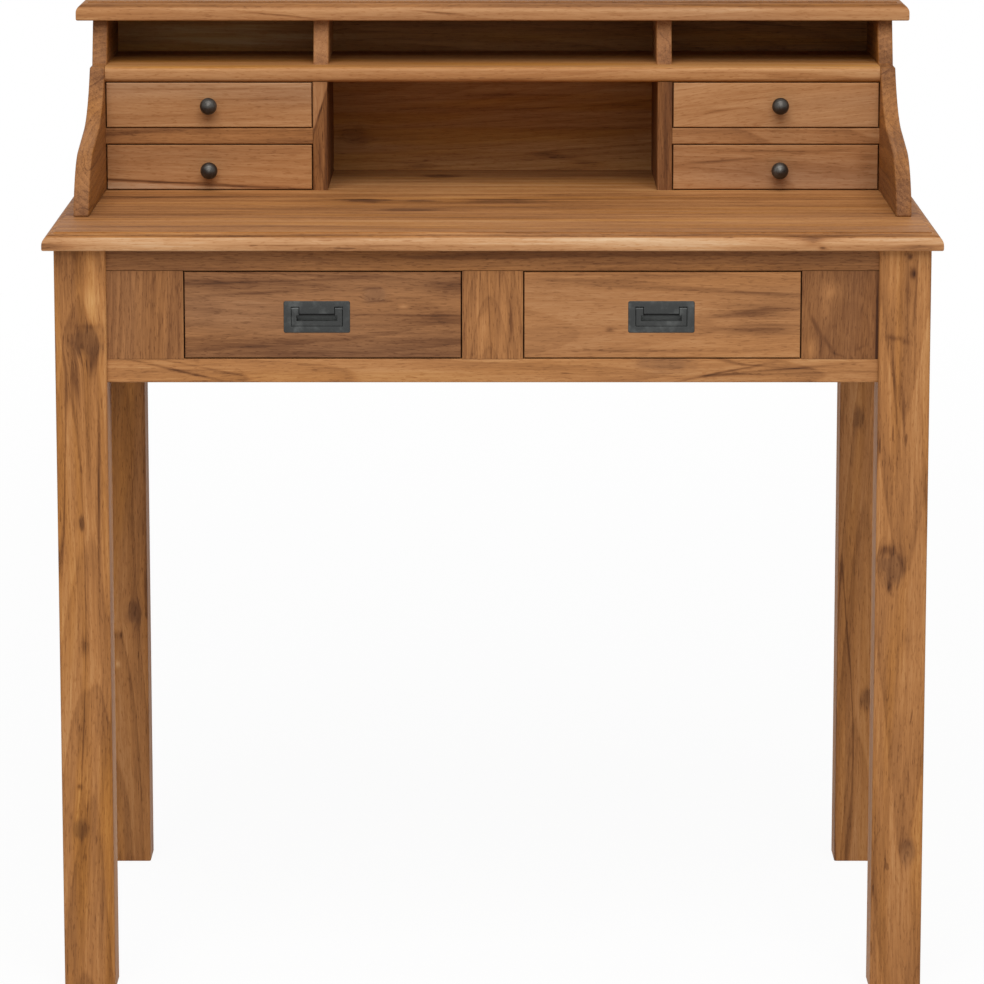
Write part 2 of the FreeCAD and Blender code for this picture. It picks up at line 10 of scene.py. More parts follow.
import bmesh
import bpy
import numpy as np
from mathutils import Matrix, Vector


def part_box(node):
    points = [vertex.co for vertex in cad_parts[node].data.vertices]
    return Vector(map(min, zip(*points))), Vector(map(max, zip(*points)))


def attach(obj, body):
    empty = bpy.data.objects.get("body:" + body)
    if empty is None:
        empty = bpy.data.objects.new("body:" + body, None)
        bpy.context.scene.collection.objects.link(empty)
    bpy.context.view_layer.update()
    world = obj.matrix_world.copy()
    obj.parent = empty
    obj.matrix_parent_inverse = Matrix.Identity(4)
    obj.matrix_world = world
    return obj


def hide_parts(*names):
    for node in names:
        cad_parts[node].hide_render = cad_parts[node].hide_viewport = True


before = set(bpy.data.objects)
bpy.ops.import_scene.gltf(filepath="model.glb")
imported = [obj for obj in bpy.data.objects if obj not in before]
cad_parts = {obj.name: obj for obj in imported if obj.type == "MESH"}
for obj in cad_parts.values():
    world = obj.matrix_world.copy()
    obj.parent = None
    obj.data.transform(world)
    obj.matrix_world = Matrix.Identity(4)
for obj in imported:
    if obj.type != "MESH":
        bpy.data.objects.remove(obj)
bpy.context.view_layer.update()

bl_info = {
    "name": "Campaign Desk",
    "version": (1, 0, 0),
    "blender": (4, 5, 0),
    "location": "View3D > Sidebar > Desk",
    "description": "Finishes and fittings of a teak writing desk with a hutch",
    "category": "Object",
}


def srgb(red, green, blue):
    """Linear colour of a display colour whose parts run from 0 to 255, by the sRGB curve."""
    parts = np.array((red, green, blue)) / 255
    return tuple(np.where(parts <= 0.04045, parts / 12.92, ((parts + 0.055) / 1.055) ** 2.4))


# Settings that a user may change

def colour_setting(name, description, default):
    """A colour property without alpha."""
    return bpy.props.FloatVectorProperty(name=name, description=description, subtype="COLOR",
                                         size=3, min=0, max=1, default=default)


def number_setting(name, description, default, **kind):
    """A number property of a kind, such as a unit or a subtype."""
    return bpy.props.FloatProperty(name=name, description=description, default=default, **kind)


def length_setting(name, description, default):
    """A length property in metres."""
    return number_setting(name, description, default, min=0, unit="LENGTH", precision=4)


class TeakSettings(bpy.types.PropertyGroup):
    """Colours and scale of the oiled teak."""

    heart: colour_setting("Heartwood", "Middle tone of the boards", srgb(168, 115, 69))
    late: colour_setting("Late wood", "Tone of the dark side of each growth ring", srgb(118, 75, 43))
    vein: colour_setting("Vein", "Tone of the darkest streaks and knots", srgb(66, 38, 22))
    early: colour_setting("Early wood", "Tone of the pale side of each growth ring", srgb(193, 143, 95))
    sap: colour_setting("Sapwood", "Tone of the palest wood near the bark", srgb(214, 178, 136))
    rose: colour_setting("Rose tint", "Cool tint that clouds some boards and knots", (0.74, 0.79, 1.0))
    amber: colour_setting("Amber tint", "Warm tint of the streaks that took more oil", (1.0, 0.90, 0.50))
    ring: length_setting("Ring width", "Usual width of a growth ring", 0.0062)
    roughness: number_setting("Roughness", "Middle roughness of the oil finish", 0.58,
                              min=0, max=1, subtype="FACTOR")


class MetalSettings(bpy.types.PropertyGroup):
    """Colours and sizes of the pulls and knobs."""

    iron: colour_setting("Iron", "Blackened face of the pulls", srgb(57, 58, 57))
    # In the pulls' cups this colour also stands for painted light
    worn: colour_setting("Worn iron", "Rubbed places of the pulls", srgb(99, 101, 99))
    bronze: colour_setting("Bronze", "Dark ball of the knobs", srgb(45, 39, 34))
    # On the knobs' noses this colour is rubbed wear together with a painted highlight
    rubbed: colour_setting("Rubbed bronze", "Handled nose of the knobs", srgb(107, 105, 101))
    ease: length_setting("Eased edge", "Rounding of the pulls' front edges", 0.0004)
    ball: length_setting("Ball", "Radius of a knob's ball", 0.0091)
    reach: length_setting("Reach", "Distance of a ball's middle from its drawer", 0.013)


class ScrollSettings(bpy.types.PropertyGroup):
    """Outline of a hutch side, with depths measured back from the desktop's front edge."""

    foot: length_setting("Foot", "Depth of the scroll's foot", 0.135)
    swell: length_setting("Round", "Radius of the lower round", 0.086)
    hollow: length_setting("Hollow", "Radius of the upper hollow", 0.140)
    ledge: length_setting("Ledge", "Depth where the hollow meets the ledge", 0.366)
    upright: length_setting("Upright", "Depth of the upright's foot", 0.398)
    head: length_setting("Head", "Depth of the upright's head", 0.416)
    lean: number_setting("Lean", "Tilt of the scroll's foot", math.radians(15.5), subtype="ANGLE")
    slope: number_setting("Slope", "Rise of the straight neck", math.radians(10), subtype="ANGLE")
    ease: length_setting("Eased edge", "Rounding of the board's edges", 0.0016)


class MouldingSettings(bpy.types.PropertyGroup):
    """Moulded edge of the desktop and the hutch top."""

    desk_inset: length_setting("Desktop inset", "Width of the desktop's moulding", 0.0115)
    desk_drop: length_setting("Desktop drop", "Fall from the desktop's flat to its lip", 0.0125)
    hutch_inset: length_setting("Hutch inset", "Width of the hutch top's moulding", 0.0125)
    hutch_drop: length_setting("Hutch drop", "Fall from the hutch top's flat to its lip", 0.0115)
    step: length_setting("Step", "Fall of the small step", 0.0015)
    lip: length_setting("Lip", "Rounding under the lip", 0.002)


class StageSettings(bpy.types.PropertyGroup):
    """Camera and light."""

    camera_back: length_setting("Camera distance", "Distance of the camera in front of the middle", 5.1507)
    camera_height: length_setting("Camera height", "Height of the camera over the floor", 1.3958)
    camera_fall: number_setting("Camera fall", "Angle by which the camera looks down", 0.17838,
                                subtype="ANGLE")
    lens: number_setting("Lens", "Focal length", 179.32, unit="CAMERA")
    key: number_setting("Key", "Power of the front softbox", 215, unit="POWER")
    fill: number_setting("Fill", "Strength of the light from all round", 0.5, min=0)
    floor: colour_setting("Floor", "Pale studio floor", (0.86, 0.86, 0.86))


class DeskSettings(bpy.types.PropertyGroup):
    """All settings of the desk."""

    teak: bpy.props.PointerProperty(type=TeakSettings)
    metal: bpy.props.PointerProperty(type=MetalSettings)
    scroll: bpy.props.PointerProperty(type=ScrollSettings)
    moulding: bpy.props.PointerProperty(type=MouldingSettings)
    stage: bpy.props.PointerProperty(type=StageSettings)


# Shader maths

# How far a salt of 1 moves a noise
NOISE_SHIFT = (17.31, 5.77, 9.13)


def arithmetic(operation, swapped=False):
    """A method that puts a Math node on a value and another value or number."""

    def method(self, other):
        pair = (other, self) if swapped else (self, other)
        return self.nodes.math(operation, *pair)

    return method


class Value:
    """A number that changes over a surface. Arithmetic on it adds Math nodes."""

    def __init__(self, nodes, socket):
        self.nodes = nodes
        self.socket = socket

    __add__ = __radd__ = arithmetic("ADD")
    __mul__ = __rmul__ = arithmetic("MULTIPLY")
    __sub__ = arithmetic("SUBTRACT")
    __rsub__ = arithmetic("SUBTRACT", swapped=True)
    __truediv__ = arithmetic("DIVIDE")

    def apply(self, operation):
        """A Math operation on this value alone, such as SQRT or FRACT."""
        return self.nodes.math(operation, self)

    def smooth(self, low, high):
        """0 below low, 1 above high and a smooth step between them."""
        node = self.nodes.add("ShaderNodeMapRange", {"interpolation_type": "SMOOTHSTEP"},
                              {"Value": self, "From Min": low, "From Max": high})
        return Value(self.nodes, node.outputs["Result"])


class Nodes:
    """The nodes of one material or world."""

    def __init__(self, owner):
        self.owner = owner
        owner.use_nodes = True
        self.tree = owner.node_tree
        self.tree.nodes.clear()

    def add(self, kind, settings=None, sockets=None):
        """A node of a type with its settings, then the values or links of its sockets."""
        node = self.tree.nodes.new(kind)
        for name, value in (settings or {}).items():
            if name == "stops":
                ramp = node.color_ramp
                while len(ramp.elements) < len(value):
                    ramp.elements.new(1)
                for element, (position, colour) in zip(ramp.elements, value):
                    element.position = position
                    element.color = (*colour, 1)
            else:
                setattr(node, name, value)
        for key, value in (sockets or {}).items():
            socket = node.inputs[key]
            if isinstance(value, Value):
                self.tree.links.new(value.socket, socket)
            elif isinstance(value, bpy.types.NodeSocket):
                self.tree.links.new(value, socket)
            else:
                socket.default_value = value
        return node

    def math(self, operation, *values):
        """A Math node on values and numbers."""
        node = self.add("ShaderNodeMath", {"operation": operation}, dict(enumerate(values)))
        return Value(self, node.outputs[0])

    def parts(self, output):
        """X, Y and Z of an output of Texture Coordinate, such as Object or Normal."""
        coords = self.add("ShaderNodeTexCoord").outputs[output]
        split = self.add("ShaderNodeSeparateXYZ", {}, {0: coords})
        return [Value(self, split.outputs[i]) for i in range(3)]

    def seen(self):
        """1 for rays from the camera, from sheen or through glass, which see the white, else 0."""
        rays = self.add("ShaderNodeLightPath").outputs
        kinds = ("Is Camera Ray", "Is Glossy Ray", "Is Transmission Ray")
        camera, glossy, clear = [Value(self, rays[kind]) for kind in kinds]
        return camera + glossy + clear

    def place(self, x, y, z):
        """A vector of three values."""
        return self.add("ShaderNodeCombineXYZ", {}, {0: x, 1: y, 2: z}).outputs[0]

    def noise(self, place, scale, salt, detail=2.0, roughness=0.55):
        """Noise at a place that is stretched by a scale, and moved by a salt to a spot of its own."""
        moved = self.add("ShaderNodeVectorMath", {"operation": "MULTIPLY_ADD"},
                         {0: place, 1: scale, 2: tuple(salt * shift for shift in NOISE_SHIFT)})
        node = self.add("ShaderNodeTexNoise", {},
                        {"Vector": moved.outputs[0], "Scale": 1.0, "Detail": detail, "Roughness": roughness})
        return Value(self, node.outputs["Fac"])

    def mix(self, factor, low, high, blend="MIX"):
        """A colour between two colours."""
        settings = {"data_type": "RGBA", "blend_type": blend, "clamp_factor": True}
        sockets = {0: factor, 6: low, 7: high}
        for key in (6, 7):
            if isinstance(sockets[key], tuple):
                sockets[key] = (*sockets[key], 1)
        return self.add("ShaderNodeMix", settings, sockets).outputs[2]

    def finish(self, colour, roughness, height, bump, bump_depth, **constants):
        """A Principled surface with a bump, and its other sockets set to plain numbers."""
        normal = self.add("ShaderNodeBump", {}, {"Height": height, "Strength": bump, "Distance": bump_depth})
        sockets = {"Base Color": colour, "Roughness": roughness, "Normal": normal.outputs[0]}
        sockets.update({name.replace("_", " "): value for name, value in constants.items()})
        surface = self.add("ShaderNodeBsdfPrincipled", {}, sockets)
        self.add("ShaderNodeOutputMaterial", {}, {"Surface": surface.outputs[0]})
        return self.owner


# Teak

def mark(along, across, length, width, tone, slope=0.0, bend=0.0):
    """A soft spot or streak: other wood on most boards, painted light and painted shade in a few places.

    Its place and half sizes are in millimetres, the slope leads it across the grain, tone is negative for
    dark wood and for painted shade, and bend is how far the fibres give way to a knot.
    """
    return along / 1000, across / 1000, length / 1000, width / 1000, tone, slope, bend


# Marks of the boards that show them: other wood, and some lines and bands of painted light and painted shade
MARKS = {
    "desktop": [
        mark(-133, -24, 24, 14, -0.22, bend=0.6), mark(-150, -15, 30, 4, -0.22),
        mark(-60, -60, 150, 50, -0.05), mark(-76, -28, 20, 10, -0.14, bend=0.6),
        mark(11, -30, 42, 14, -0.16, bend=0.5), mark(15, -14, 60, 4, -0.22),
        mark(-85, -102, 36, 11, -0.14, bend=0.5), mark(-75, -112, 60, 4, -0.18),
        # The broad pale marks at 240 and 75 mm across are painted light that lifts the shade under the
        # hutch's shelf
        mark(-56, 200, 22, 16, -0.24, bend=0.5), mark(0, 240, 1200, 90, 0.22), mark(0, 75, 700, 80, 0.22),
        mark(80, -90, 110, 7, -0.18), mark(0, -55, 200, 16, -0.06), mark(122, -208, 60, 6, -0.18),
        mark(260, -38, 35, 8, -0.10), mark(-300, -150, 80, 10, -0.08), mark(319, -302, 34, 3.5, -0.30),
        mark(319, -307, 10, 5, -0.32), mark(329.2, -314.8, 3.5, 1.6, -0.36),
        # The pale line at -291.4 mm across is a painted highlight on the step's arris, and the dark line at
        # -297.2 mm is painted shade below the step
        mark(-450, -311, 40, 9, -0.40), mark(425, -315, 30, 4.5, -0.26), mark(0, -291.4, 900, 1.4, 0.20),
        mark(0, -297.2, 900, 1.8, -0.08), mark(0, -306, 900, 4, 0.07), mark(0, -315, 900, 3.2, -0.12),
        mark(60, -308, 140, 0.8, -0.16), mark(-180, -312, 120, 0.8, -0.16),
    ],
    "front_left_leg": [
        mark(672, -404.5, 18, 17.5, -0.11, bend=0.5), mark(687.5, -404, 3, 13, -0.12),
        mark(638, -420, 22, 4, -0.20, slope=-0.10), mark(654, -400.5, 18, 5, -0.18, slope=0.24),
        mark(712, -405, 16, 13, 0.10), mark(730, -428, 40, 10, -0.15), mark(755, -413, 25, 20, -0.08),
        mark(530, -396.5, 85, 1.6, -0.24, slope=0.012), mark(560, -406, 50, 4, -0.10),
        mark(486.4, -415.3, 8, 4, -0.26, bend=0.6), mark(360, -414, 10, 4, -0.18),
        mark(262, -418.5, 22, 6, -0.16), mark(214, -420.4, 3, 2.6, -0.36),
        mark(169, -420, 12, 9, -0.13, bend=0.4),
    ],
    "front_right_leg": [
        mark(724, 414, 45, 12, -0.10, slope=0.2), mark(741, 420.3, 5, 3, -0.36),
        mark(758, 417.1, 3, 2.2, -0.30), mark(677, 397, 3, 6, -0.10), mark(675.5, 405.5, 2.5, 5, -0.16),
        mark(672, 414, 3, 5, -0.13), mark(617, 404.7, 50, 1.3, -0.24, slope=-0.082),
        mark(600, 413, 40, 1.3, -0.18, slope=-0.06), mark(524, 435.7, 60, 1.3, -0.22, slope=-0.049),
        mark(442, 403.7, 19, 14, -0.15, bend=0.5), mark(460, 398.4, 6, 6, -0.22),
        mark(421.6, 400.9, 6, 2.6, -0.38), mark(367, 417.9, 10, 5, -0.15),
        mark(145, 424.3, 14, 8, -0.13, bend=0.6),
    ],
    "back_left_leg": [
        mark(286.5, -402.3, 15, 10, -0.13, bend=0.6), mark(261.3, -417.2, 4, 2, -0.30),
        mark(228, -421.1, 4, 4, 0.20),
    ],
    "back_right_leg": [
        mark(530, 403.4, 20, 6, 0.13), mark(508, 408, 14, 6, -0.16, bend=0.5),
        mark(187.7, 421.4, 14, 8, -0.18, bend=0.5),
    ],
    "front_bottom_rail": [
        mark(-319, 642.7, 45, 1.4, -0.26, slope=-0.227), mark(-300, 647, 40, 1.2, -0.20, slope=-0.20),
        mark(173, 649, 30, 9, -0.10, bend=0.5), mark(236, 641.2, 50, 1.2, -0.26, slope=0.20),
        mark(288, 643, 80, 1.3, -0.22, slope=0.09), mark(290, 639, 70, 1.2, -0.18, slope=0.02),
    ],
    "centre_front_stile": [
        mark(713.7, -9.6, 18, 4, -0.12), mark(683, 17.5, 40, 1.8, -0.18, slope=0.06),
        mark(690, -12, 20, 8, 0.10),
    ],
    "right_front_stile": [
        mark(722, 338.5, 9, 9, 0.16), mark(703, 334, 12, 5, 0.09), mark(664, 320, 10, 6, 0.12),
        mark(688.3, 323.8, 11, 2.1, -0.12, slope=-0.48), mark(669.2, 328.7, 10, 1.9, -0.10, slope=-0.06),
        mark(668.4, 337.3, 9, 2.4, -0.12, slope=-0.65), mark(658.4, 346.4, 2.6, 2.6, -0.10, slope=-1.95),
        # The dark line at 385.6 mm across is painted shadow in the gap between the stile and the leg
        mark(665.8, 370.5, 3, 2.8, -0.06, slope=1.57), mark(676, 385.6, 48, 1.2, -0.55),
    ],
    "hutch_top": [
        mark(-231, 85.4, 42, 1.1, -0.36, slope=-0.10), mark(-60, 88, 36, 1.4, -0.18, slope=-0.10),
        # The pale line at 91 mm across is a painted highlight on the round of the moulding
        mark(0, 91, 900, 3, 0.10),
    ],
    "left_partition": [mark(863.7, -185.3, 24, 1.1, -0.32, slope=0.307), mark(815, -185, 20, 1.6, -0.22)],
    "right_partition": [mark(840, 186, 50, 3, -0.14)],
    "hutch_back_panel": [
        mark(22, 866.3, 55, 2.2, -0.22), mark(-152, 822, 16, 11, -0.08, bend=0.7),
        # The broad pale band at 845 mm is painted light on the back of the middle compartment, in the shade
        # under the shelf
        mark(20, 930, 400, 9, 0.14), mark(-300, 938, 130, 30, 0.32), mark(0, 845, 1500, 55, 0.15),
        mark(100, 800, 100, 6, -0.10),
    ],
    "left_drawer_front": [
        mark(-263, 730, 55, 6, -0.16), mark(-230, 721, 45, 1.8, -0.16, slope=0.05),
        mark(-262, 664, 90, 7.5, -0.18), mark(-245, 700, 60, 13, 0.13), mark(-105, 722, 45, 13, 0.07),
        mark(-60, 690, 55, 30, -0.09), mark(-118.5, 719, 11, 8.5, -0.03, bend=1.0),
        mark(-121, 725.5, 11, 1.4, -0.16), mark(-117, 712.5, 13, 1.4, -0.14, slope=0.12),
        mark(-88.8, 707.7, 5, 3.5, 0.16), mark(-200, 673.5, 200, 6, -0.08), mark(-38, 728, 22, 6, -0.16),
        mark(-45, 695.5, 22, 5, -0.15),
    ],
    "right_drawer_front": [
        mark(268, 693, 50, 26, -0.15), mark(250, 700, 45, 3.5, -0.14, slope=0.08),
        mark(260, 685, 50, 2.8, -0.14, slope=0.04), mark(158, 662.5, 90, 1.7, -0.16),
        mark(118, 683.3, 4, 2.2, -0.28),
    ],
    "upper_left_small_drawer_front": [mark(-303, 891.5, 130, 1.2, -0.22), mark(-260, 880, 60, 1.4, -0.14)],
    "lower_left_small_drawer_front": [mark(-325, 790, 160, 1.7, -0.60, slope=-0.047)],
    "upper_right_small_drawer_front": [
        mark(250, 878, 50, 1.6, -0.16, slope=0.12), mark(240, 868, 40, 1.4, -0.14, slope=0.14),
    ],
    "lower_right_small_drawer_front": [
        mark(307, 825, 90, 3, -0.20), mark(400, 813.3, 12, 10, -0.15),
        mark(240, 814, 50, 1.5, -0.20, slope=0.083),
    ],
}
MARKS["hutch_left_side"] = MARKS["hutch_right_side"] = [mark(107, 940, 20, 30, 0.06)]


class Board:
    """How one board was sawn, with the usual value of each thing that a board may set.

    axes names the directions along the grain, across the shown face and through the board, and seed picks
    the noises. Each edge is (across, slope, softness, tone): other wood past a line, and on the hutch top
    painted shade past it, towards lower numbers if softness is negative. Paler wood past an edge is sapwood,
    which the amber leaves out.
    """

    # On the front top rail a lower tone also paints shade under the desktop's lip
    tone = 0.0  # lighter or darker wood
    rose = 0.2  # strength of the cool tint
    amber = 0.35  # strength of the warm tint
    # The broad faces keep the warm tint that the narrow sides lose: painted warm bounce light
    painted_bounce_warmth = 0.0  # how far the warm tint leaves out the narrow sides
    heart = (0.012, 0.05)  # growth centre's place across and through the board from its middle
    tilt = (0.0, 0.02)  # how fast that centre drifts along the grain
    figure = 1.0  # strength of the rings and dark lines
    broad = 1.0  # strength of the broad bands
    coarse = 1.0  # strength of the narrow bands, fibres and flecks
    slant = 0.0  # slope of the fibres
    sway = 0.008  # how far the fibres wander
    strip = None  # width of glued strips and place of the first joint
    end = 0.13  # how much darker the end grain is
    edges = ()
    roll = None  # height of the face, if marks and edges go on over the front edge as if it were flat

    def __init__(self, axes, seed, **sawn):
        self.axes = axes
        self.seed = seed
        for name, value in sawn.items():
            if not hasattr(Board, name):
                raise AttributeError("a board has no " + name)
            setattr(self, name, value)


# Noises of the grain: waves a metre along and across the fibres, number, detail and roughness
GRAIN = {
    "sway_across": (1.6, 5.0, 1, 1.0, 0.55),
    "sway_through": (1.6, 5.0, 2, 1.0, 0.55),
    "fray": (12.0, 240.0, 3, 2.0, 0.55),
    "broad": (1.3, 17.0, 4, 2.0, 0.55),
    "band": (2.4, 64.0, 5, 3.0, 0.6),
    "fibre": (12.0, 330.0, 6, 3.0, 0.6),
    "thread": (46.0, 780.0, 7, 2.0, 0.55),
    "pore": (120.0, 820.0, 8, 1.0, 0.55),
    "fleck": (52.0, 400.0, 9, 0.0, 0.55),
    "line": (1.5, 30.0, 10, 1.0, 0.55),
    "line_part": (2.2, 24.0, 11, 0.0, 0.55),
    "cloud": (2.3, 17.0, 12, 1.0, 0.55),
    "warmth": (2.8, 46.0, 13, 1.0, 0.55),
    "ragged": (70.0, 110.0, 14, 2.0, 0.55),
    "torn": (60.0, 130.0, 15, 2.0, 0.55),
    "streak": (7.0, 190.0, 16, 3.0, 0.65),
}

# Salt from one noise of a board to the next
NOISE_STEP = 0.731

# Share of each feature in a board's tone, and the tones at which the five colours stand
MIDDLE_TONE = 0.49
SHARE = {"strip": 0.05, "seam": 0.08, "ring": 0.15, "broad": 0.46, "band": 0.36, "fibre": 0.30,
         "thread": 0.26, "pore": 0.10, "fleck": 0.13, "line": 0.22}
COLOUR_TONES = (0.0, 0.26, 0.52, 0.74, 1.0)

# Levels between which a noise, a distance or a facing turns into a feature
LEVEL = {"seam": (0.49, 0.4985), "knot": (0.05, 0.85), "pore": (0.58, 0.68), "fleck": (0.77, 0.84),
         "line": (0.0, 0.02), "line_part": (0.5, 0.66), "ring_end": (0.92, 1.0), "facing": (0.5, 0.9),
         "cloud": (0.38, 0.7), "warmth": (0.42, 0.72)}

# How far noises push fibres, knots, strips and rings about, and how they shape rings and streaks
SWAY_GAIN = 4
FRAY_GAIN = 1.6
KNOT_GAIN = 1.1
STRIP_RUN = 5.0
RING_GAIN = 1.4
RING_MEAN = 0.27
RING_BASE, RING_BAND = 0.2, 1.6
STREAK_GAIN, STREAK_LOSS = 3, 0.5

# Extra cool tint of end grain, knots and sapwood, and the least share of a tint
END_CLOUD, KNOT_CLOUD, SAP_CLOUD = 0.4, 0.55, 0.30
LEAST_TINT = 0.3

# Surface of the oiled wood, and what fibres, threads, pores and rings do to its roughness and height
BUMP, BUMP_DEPTH, SHEEN = 0.22, 0.0005, 0.14
ROUGH = {"least": -0.07, "fibre": 0.14, "pore": 0.1}
RELIEF = {"fibre": 0.6, "thread": 0.3, "pore": 0.5, "ring": 0.2}


def teak(node, board, settings):
    """Oiled teak of one board, as solid wood.

    Fibres, bands, pores and flecks are noise drawn out along the grain, on coordinates that sway and that
    give way round knots. Growth rings are the fractional part of the distance from a drifting centre line
    over the ring width. Dark lines follow the middle level of a slow noise. A mark is a bell curve of its
    distance over its half sizes. All of them add up to one tone, which a ramp turns into colour. End grain
    took more oil, so it is darker.
    """
    low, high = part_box(node)
    marks = MARKS.get(node, ())
    nodes = Nodes(bpy.data.materials.new("teak_" + node))
    xyz = dict(zip("XYZ", nodes.parts("Object")))
    facing = dict(zip("XYZ", nodes.parts("Normal")))
    centre = dict(zip("XYZ", (low + high) / 2))
    along, across, through = [xyz[axis] for axis in board.axes]
    along_0, across_0, through_0 = [centre[axis] for axis in board.axes]
    drift = along - along_0
    tone = MIDDLE_TONE + board.tone
    run = along
    if board.strip:
        # All that lies before the first joint is one strip
        width, joint = board.strip
        strips = nodes.math("MAXIMUM", (across - joint) / width, -0.5)
        chance = nodes.add("ShaderNodeTexWhiteNoise", {"noise_dimensions": "1D"},
                           {"W": strips.apply("FLOOR") + board.seed})
        chance = Value(nodes, chance.outputs["Value"])
        run = along + chance * STRIP_RUN
        seam = (strips.apply("FRACT") - 0.5).apply("ABSOLUTE").smooth(*LEVEL["seam"])
        tone = tone + (chance - 0.5) * SHARE["strip"] - seam * SHARE["seam"]

    def grain(layer, where):
        scale_along, scale_across, number, detail, roughness = GRAIN[layer]
        scale = (scale_along, scale_across, scale_across)
        return nodes.noise(where, scale, board.seed + number * NOISE_STEP, detail, roughness)

    def bell(ahead, aside):
        return (-1.0 * (ahead * ahead + aside * aside)).apply("EXPONENT")

    still = nodes.place(run, across, through)
    sway_across = (grain("sway_across", still) - 0.5) * (board.sway * SWAY_GAIN)
    sway_through = (grain("sway_through", still) - 0.5) * (board.sway * SWAY_GAIN)
    fray = (grain("fray", still) - 0.5) * FRAY_GAIN
    bent = across - drift * board.slant + sway_across
    unrolled = across if board.roll is None else across + through - board.roll
    knots = None
    if marks:
        streak = grain("streak", still) * STREAK_GAIN - STREAK_LOSS
    if any(bend for *_, bend in marks):
        ragged = (grain("ragged", still) - 0.5) * KNOT_GAIN
        torn = (grain("torn", still) - 0.5) * KNOT_GAIN
    for mark_along, mark_across, length, width, change, slope, bend in marks:
        ahead = along - mark_along
        aside = unrolled - mark_across - ahead * slope
        beside = ahead / length
        over = aside / width + fray
        spot = bell(beside, over)
        if bend:
            bent = bent - spot * aside * bend
            spot = bell(beside + ragged, over + torn).smooth(*LEVEL["knot"])
            knots = spot if knots is None else knots + spot
        else:
            spot = spot * streak
        tone = tone + spot * change

    flow = nodes.place(run, bent, through + sway_through)
    broad = grain("broad", flow)
    band = grain("band", flow)
    fibre = grain("fibre", flow)
    thread = grain("thread", flow)
    pore = grain("pore", flow).smooth(*LEVEL["pore"])
    fleck = grain("fleck", flow).smooth(*LEVEL["fleck"])
    line = 1 - (grain("line", flow) - 0.5).apply("ABSOLUTE").smooth(*LEVEL["line"])
    line = line * grain("line_part", flow).smooth(*LEVEL["line_part"])
    from_heart = bent - (across_0 + board.heart[0]) - drift * board.tilt[0]
    behind_heart = through + sway_through - (through_0 + board.heart[1]) - drift * board.tilt[1]
    radius = (from_heart * from_heart + behind_heart * behind_heart).apply("SQRT")
    phase = (radius / settings.ring + (broad - 0.5) * RING_GAIN).apply("FRACT")
    ring = phase * phase * (1 - phase.smooth(*LEVEL["ring_end"]))
    tone = tone - (ring - RING_MEAN) * (SHARE["ring"] * board.figure) * (RING_BASE + band * RING_BAND)
    tone = tone + (broad - 0.5) * (SHARE["broad"] * board.broad)
    tone = tone + (band - 0.5) * (SHARE["band"] * board.coarse)
    tone = tone + (fibre - 0.5) * (SHARE["fibre"] * board.coarse) + (thread - 0.5) * SHARE["thread"]
    tone = tone - pore * SHARE["pore"] - fleck * (SHARE["fleck"] * board.coarse)
    tone = tone - line * (SHARE["line"] * board.figure)
    sapwood = None
    for edge_across, slope, softness, change in board.edges:
        past = ((unrolled - edge_across - drift * slope) / softness + fray).smooth(-1.0, 1.0)
        tone = tone + past * change
        if change > 0:
            sapwood = past if sapwood is None else sapwood + past
    end = facing[board.axes[0]].apply("ABSOLUTE").smooth(*LEVEL["facing"])
    tone = tone - end * board.end

    colours = (settings.vein, settings.late, settings.heart, settings.early, settings.sap)
    stops = [(at, tuple(colour)) for at, colour in zip(COLOUR_TONES, colours)]
    colour = nodes.add("ShaderNodeValToRGB", {"stops": stops}, {0: tone}).outputs[0]
    cloud = LEAST_TINT + grain("cloud", flow).smooth(*LEVEL["cloud"]) * (1 - LEAST_TINT)
    cloud = cloud * board.rose + end * END_CLOUD
    if knots is not None:
        cloud = cloud + knots * KNOT_CLOUD
    warmth = LEAST_TINT + grain("warmth", flow).smooth(*LEVEL["warmth"]) * (1 - LEAST_TINT)
    warmth = warmth * board.amber
    # Broad faces keep the warm tint that narrow sides lose: painted warm bounce light
    if board.painted_bounce_warmth:
        face = facing[board.axes[2]].apply("ABSOLUTE").smooth(*LEVEL["facing"])
        warmth = warmth * (1 - (1 - face) * board.painted_bounce_warmth)
    if sapwood is not None:
        cloud = cloud + sapwood * SAP_CLOUD
        warmth = warmth * (1 - sapwood)
    colour = nodes.mix(cloud, colour, tuple(settings.rose), "MULTIPLY")
    colour = nodes.mix(warmth, colour, tuple(settings.amber), "MULTIPLY")
    roughness = settings.roughness + ROUGH["least"] + fibre * ROUGH["fibre"] + pore * ROUGH["pore"]
    height = fibre * RELIEF["fibre"] + thread * RELIEF["thread"]
    height = height - pore * RELIEF["pore"] - ring * RELIEF["ring"]
    return nodes.finish(colour, roughness, height, BUMP, BUMP_DEPTH, Specular_IOR_Level=SHEEN)


# Surfaces

# Distances at which points are one or lie on a plane
JOIN, ON_PLANE = 1e-6, 1e-5

# Angles under which an edge is flat, and over which a copy's or a new piece's edge is rounded, in steps
FLAT, SHARP, EASED = math.radians(0.5), math.radians(40), math.radians(35)
EASE_STEPS = 3

# Points on the round stretches of mouldings, scrolls and knobs
SWELL_POINTS, LIP_POINTS = 13, 6
ROUND_POINTS, HOLLOW_POINTS = 28, 26
BALL_POINTS = 33


def place_piece(name, mesh, material, body, stands_for, sharp=30):
    """Put a mesh into the scene on a body, smooth apart from edges sharper than an angle."""
    mesh.shade_smooth()
    mesh.set_sharp_from_angle(angle=math.radians(sharp))
    mesh.materials.clear()
    mesh.materials.append(material)
    piece = bpy.data.objects.new(name, mesh)
    bpy.context.scene.collection.objects.link(piece)
    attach(piece, body)
    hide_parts(*stands_for)
    return piece


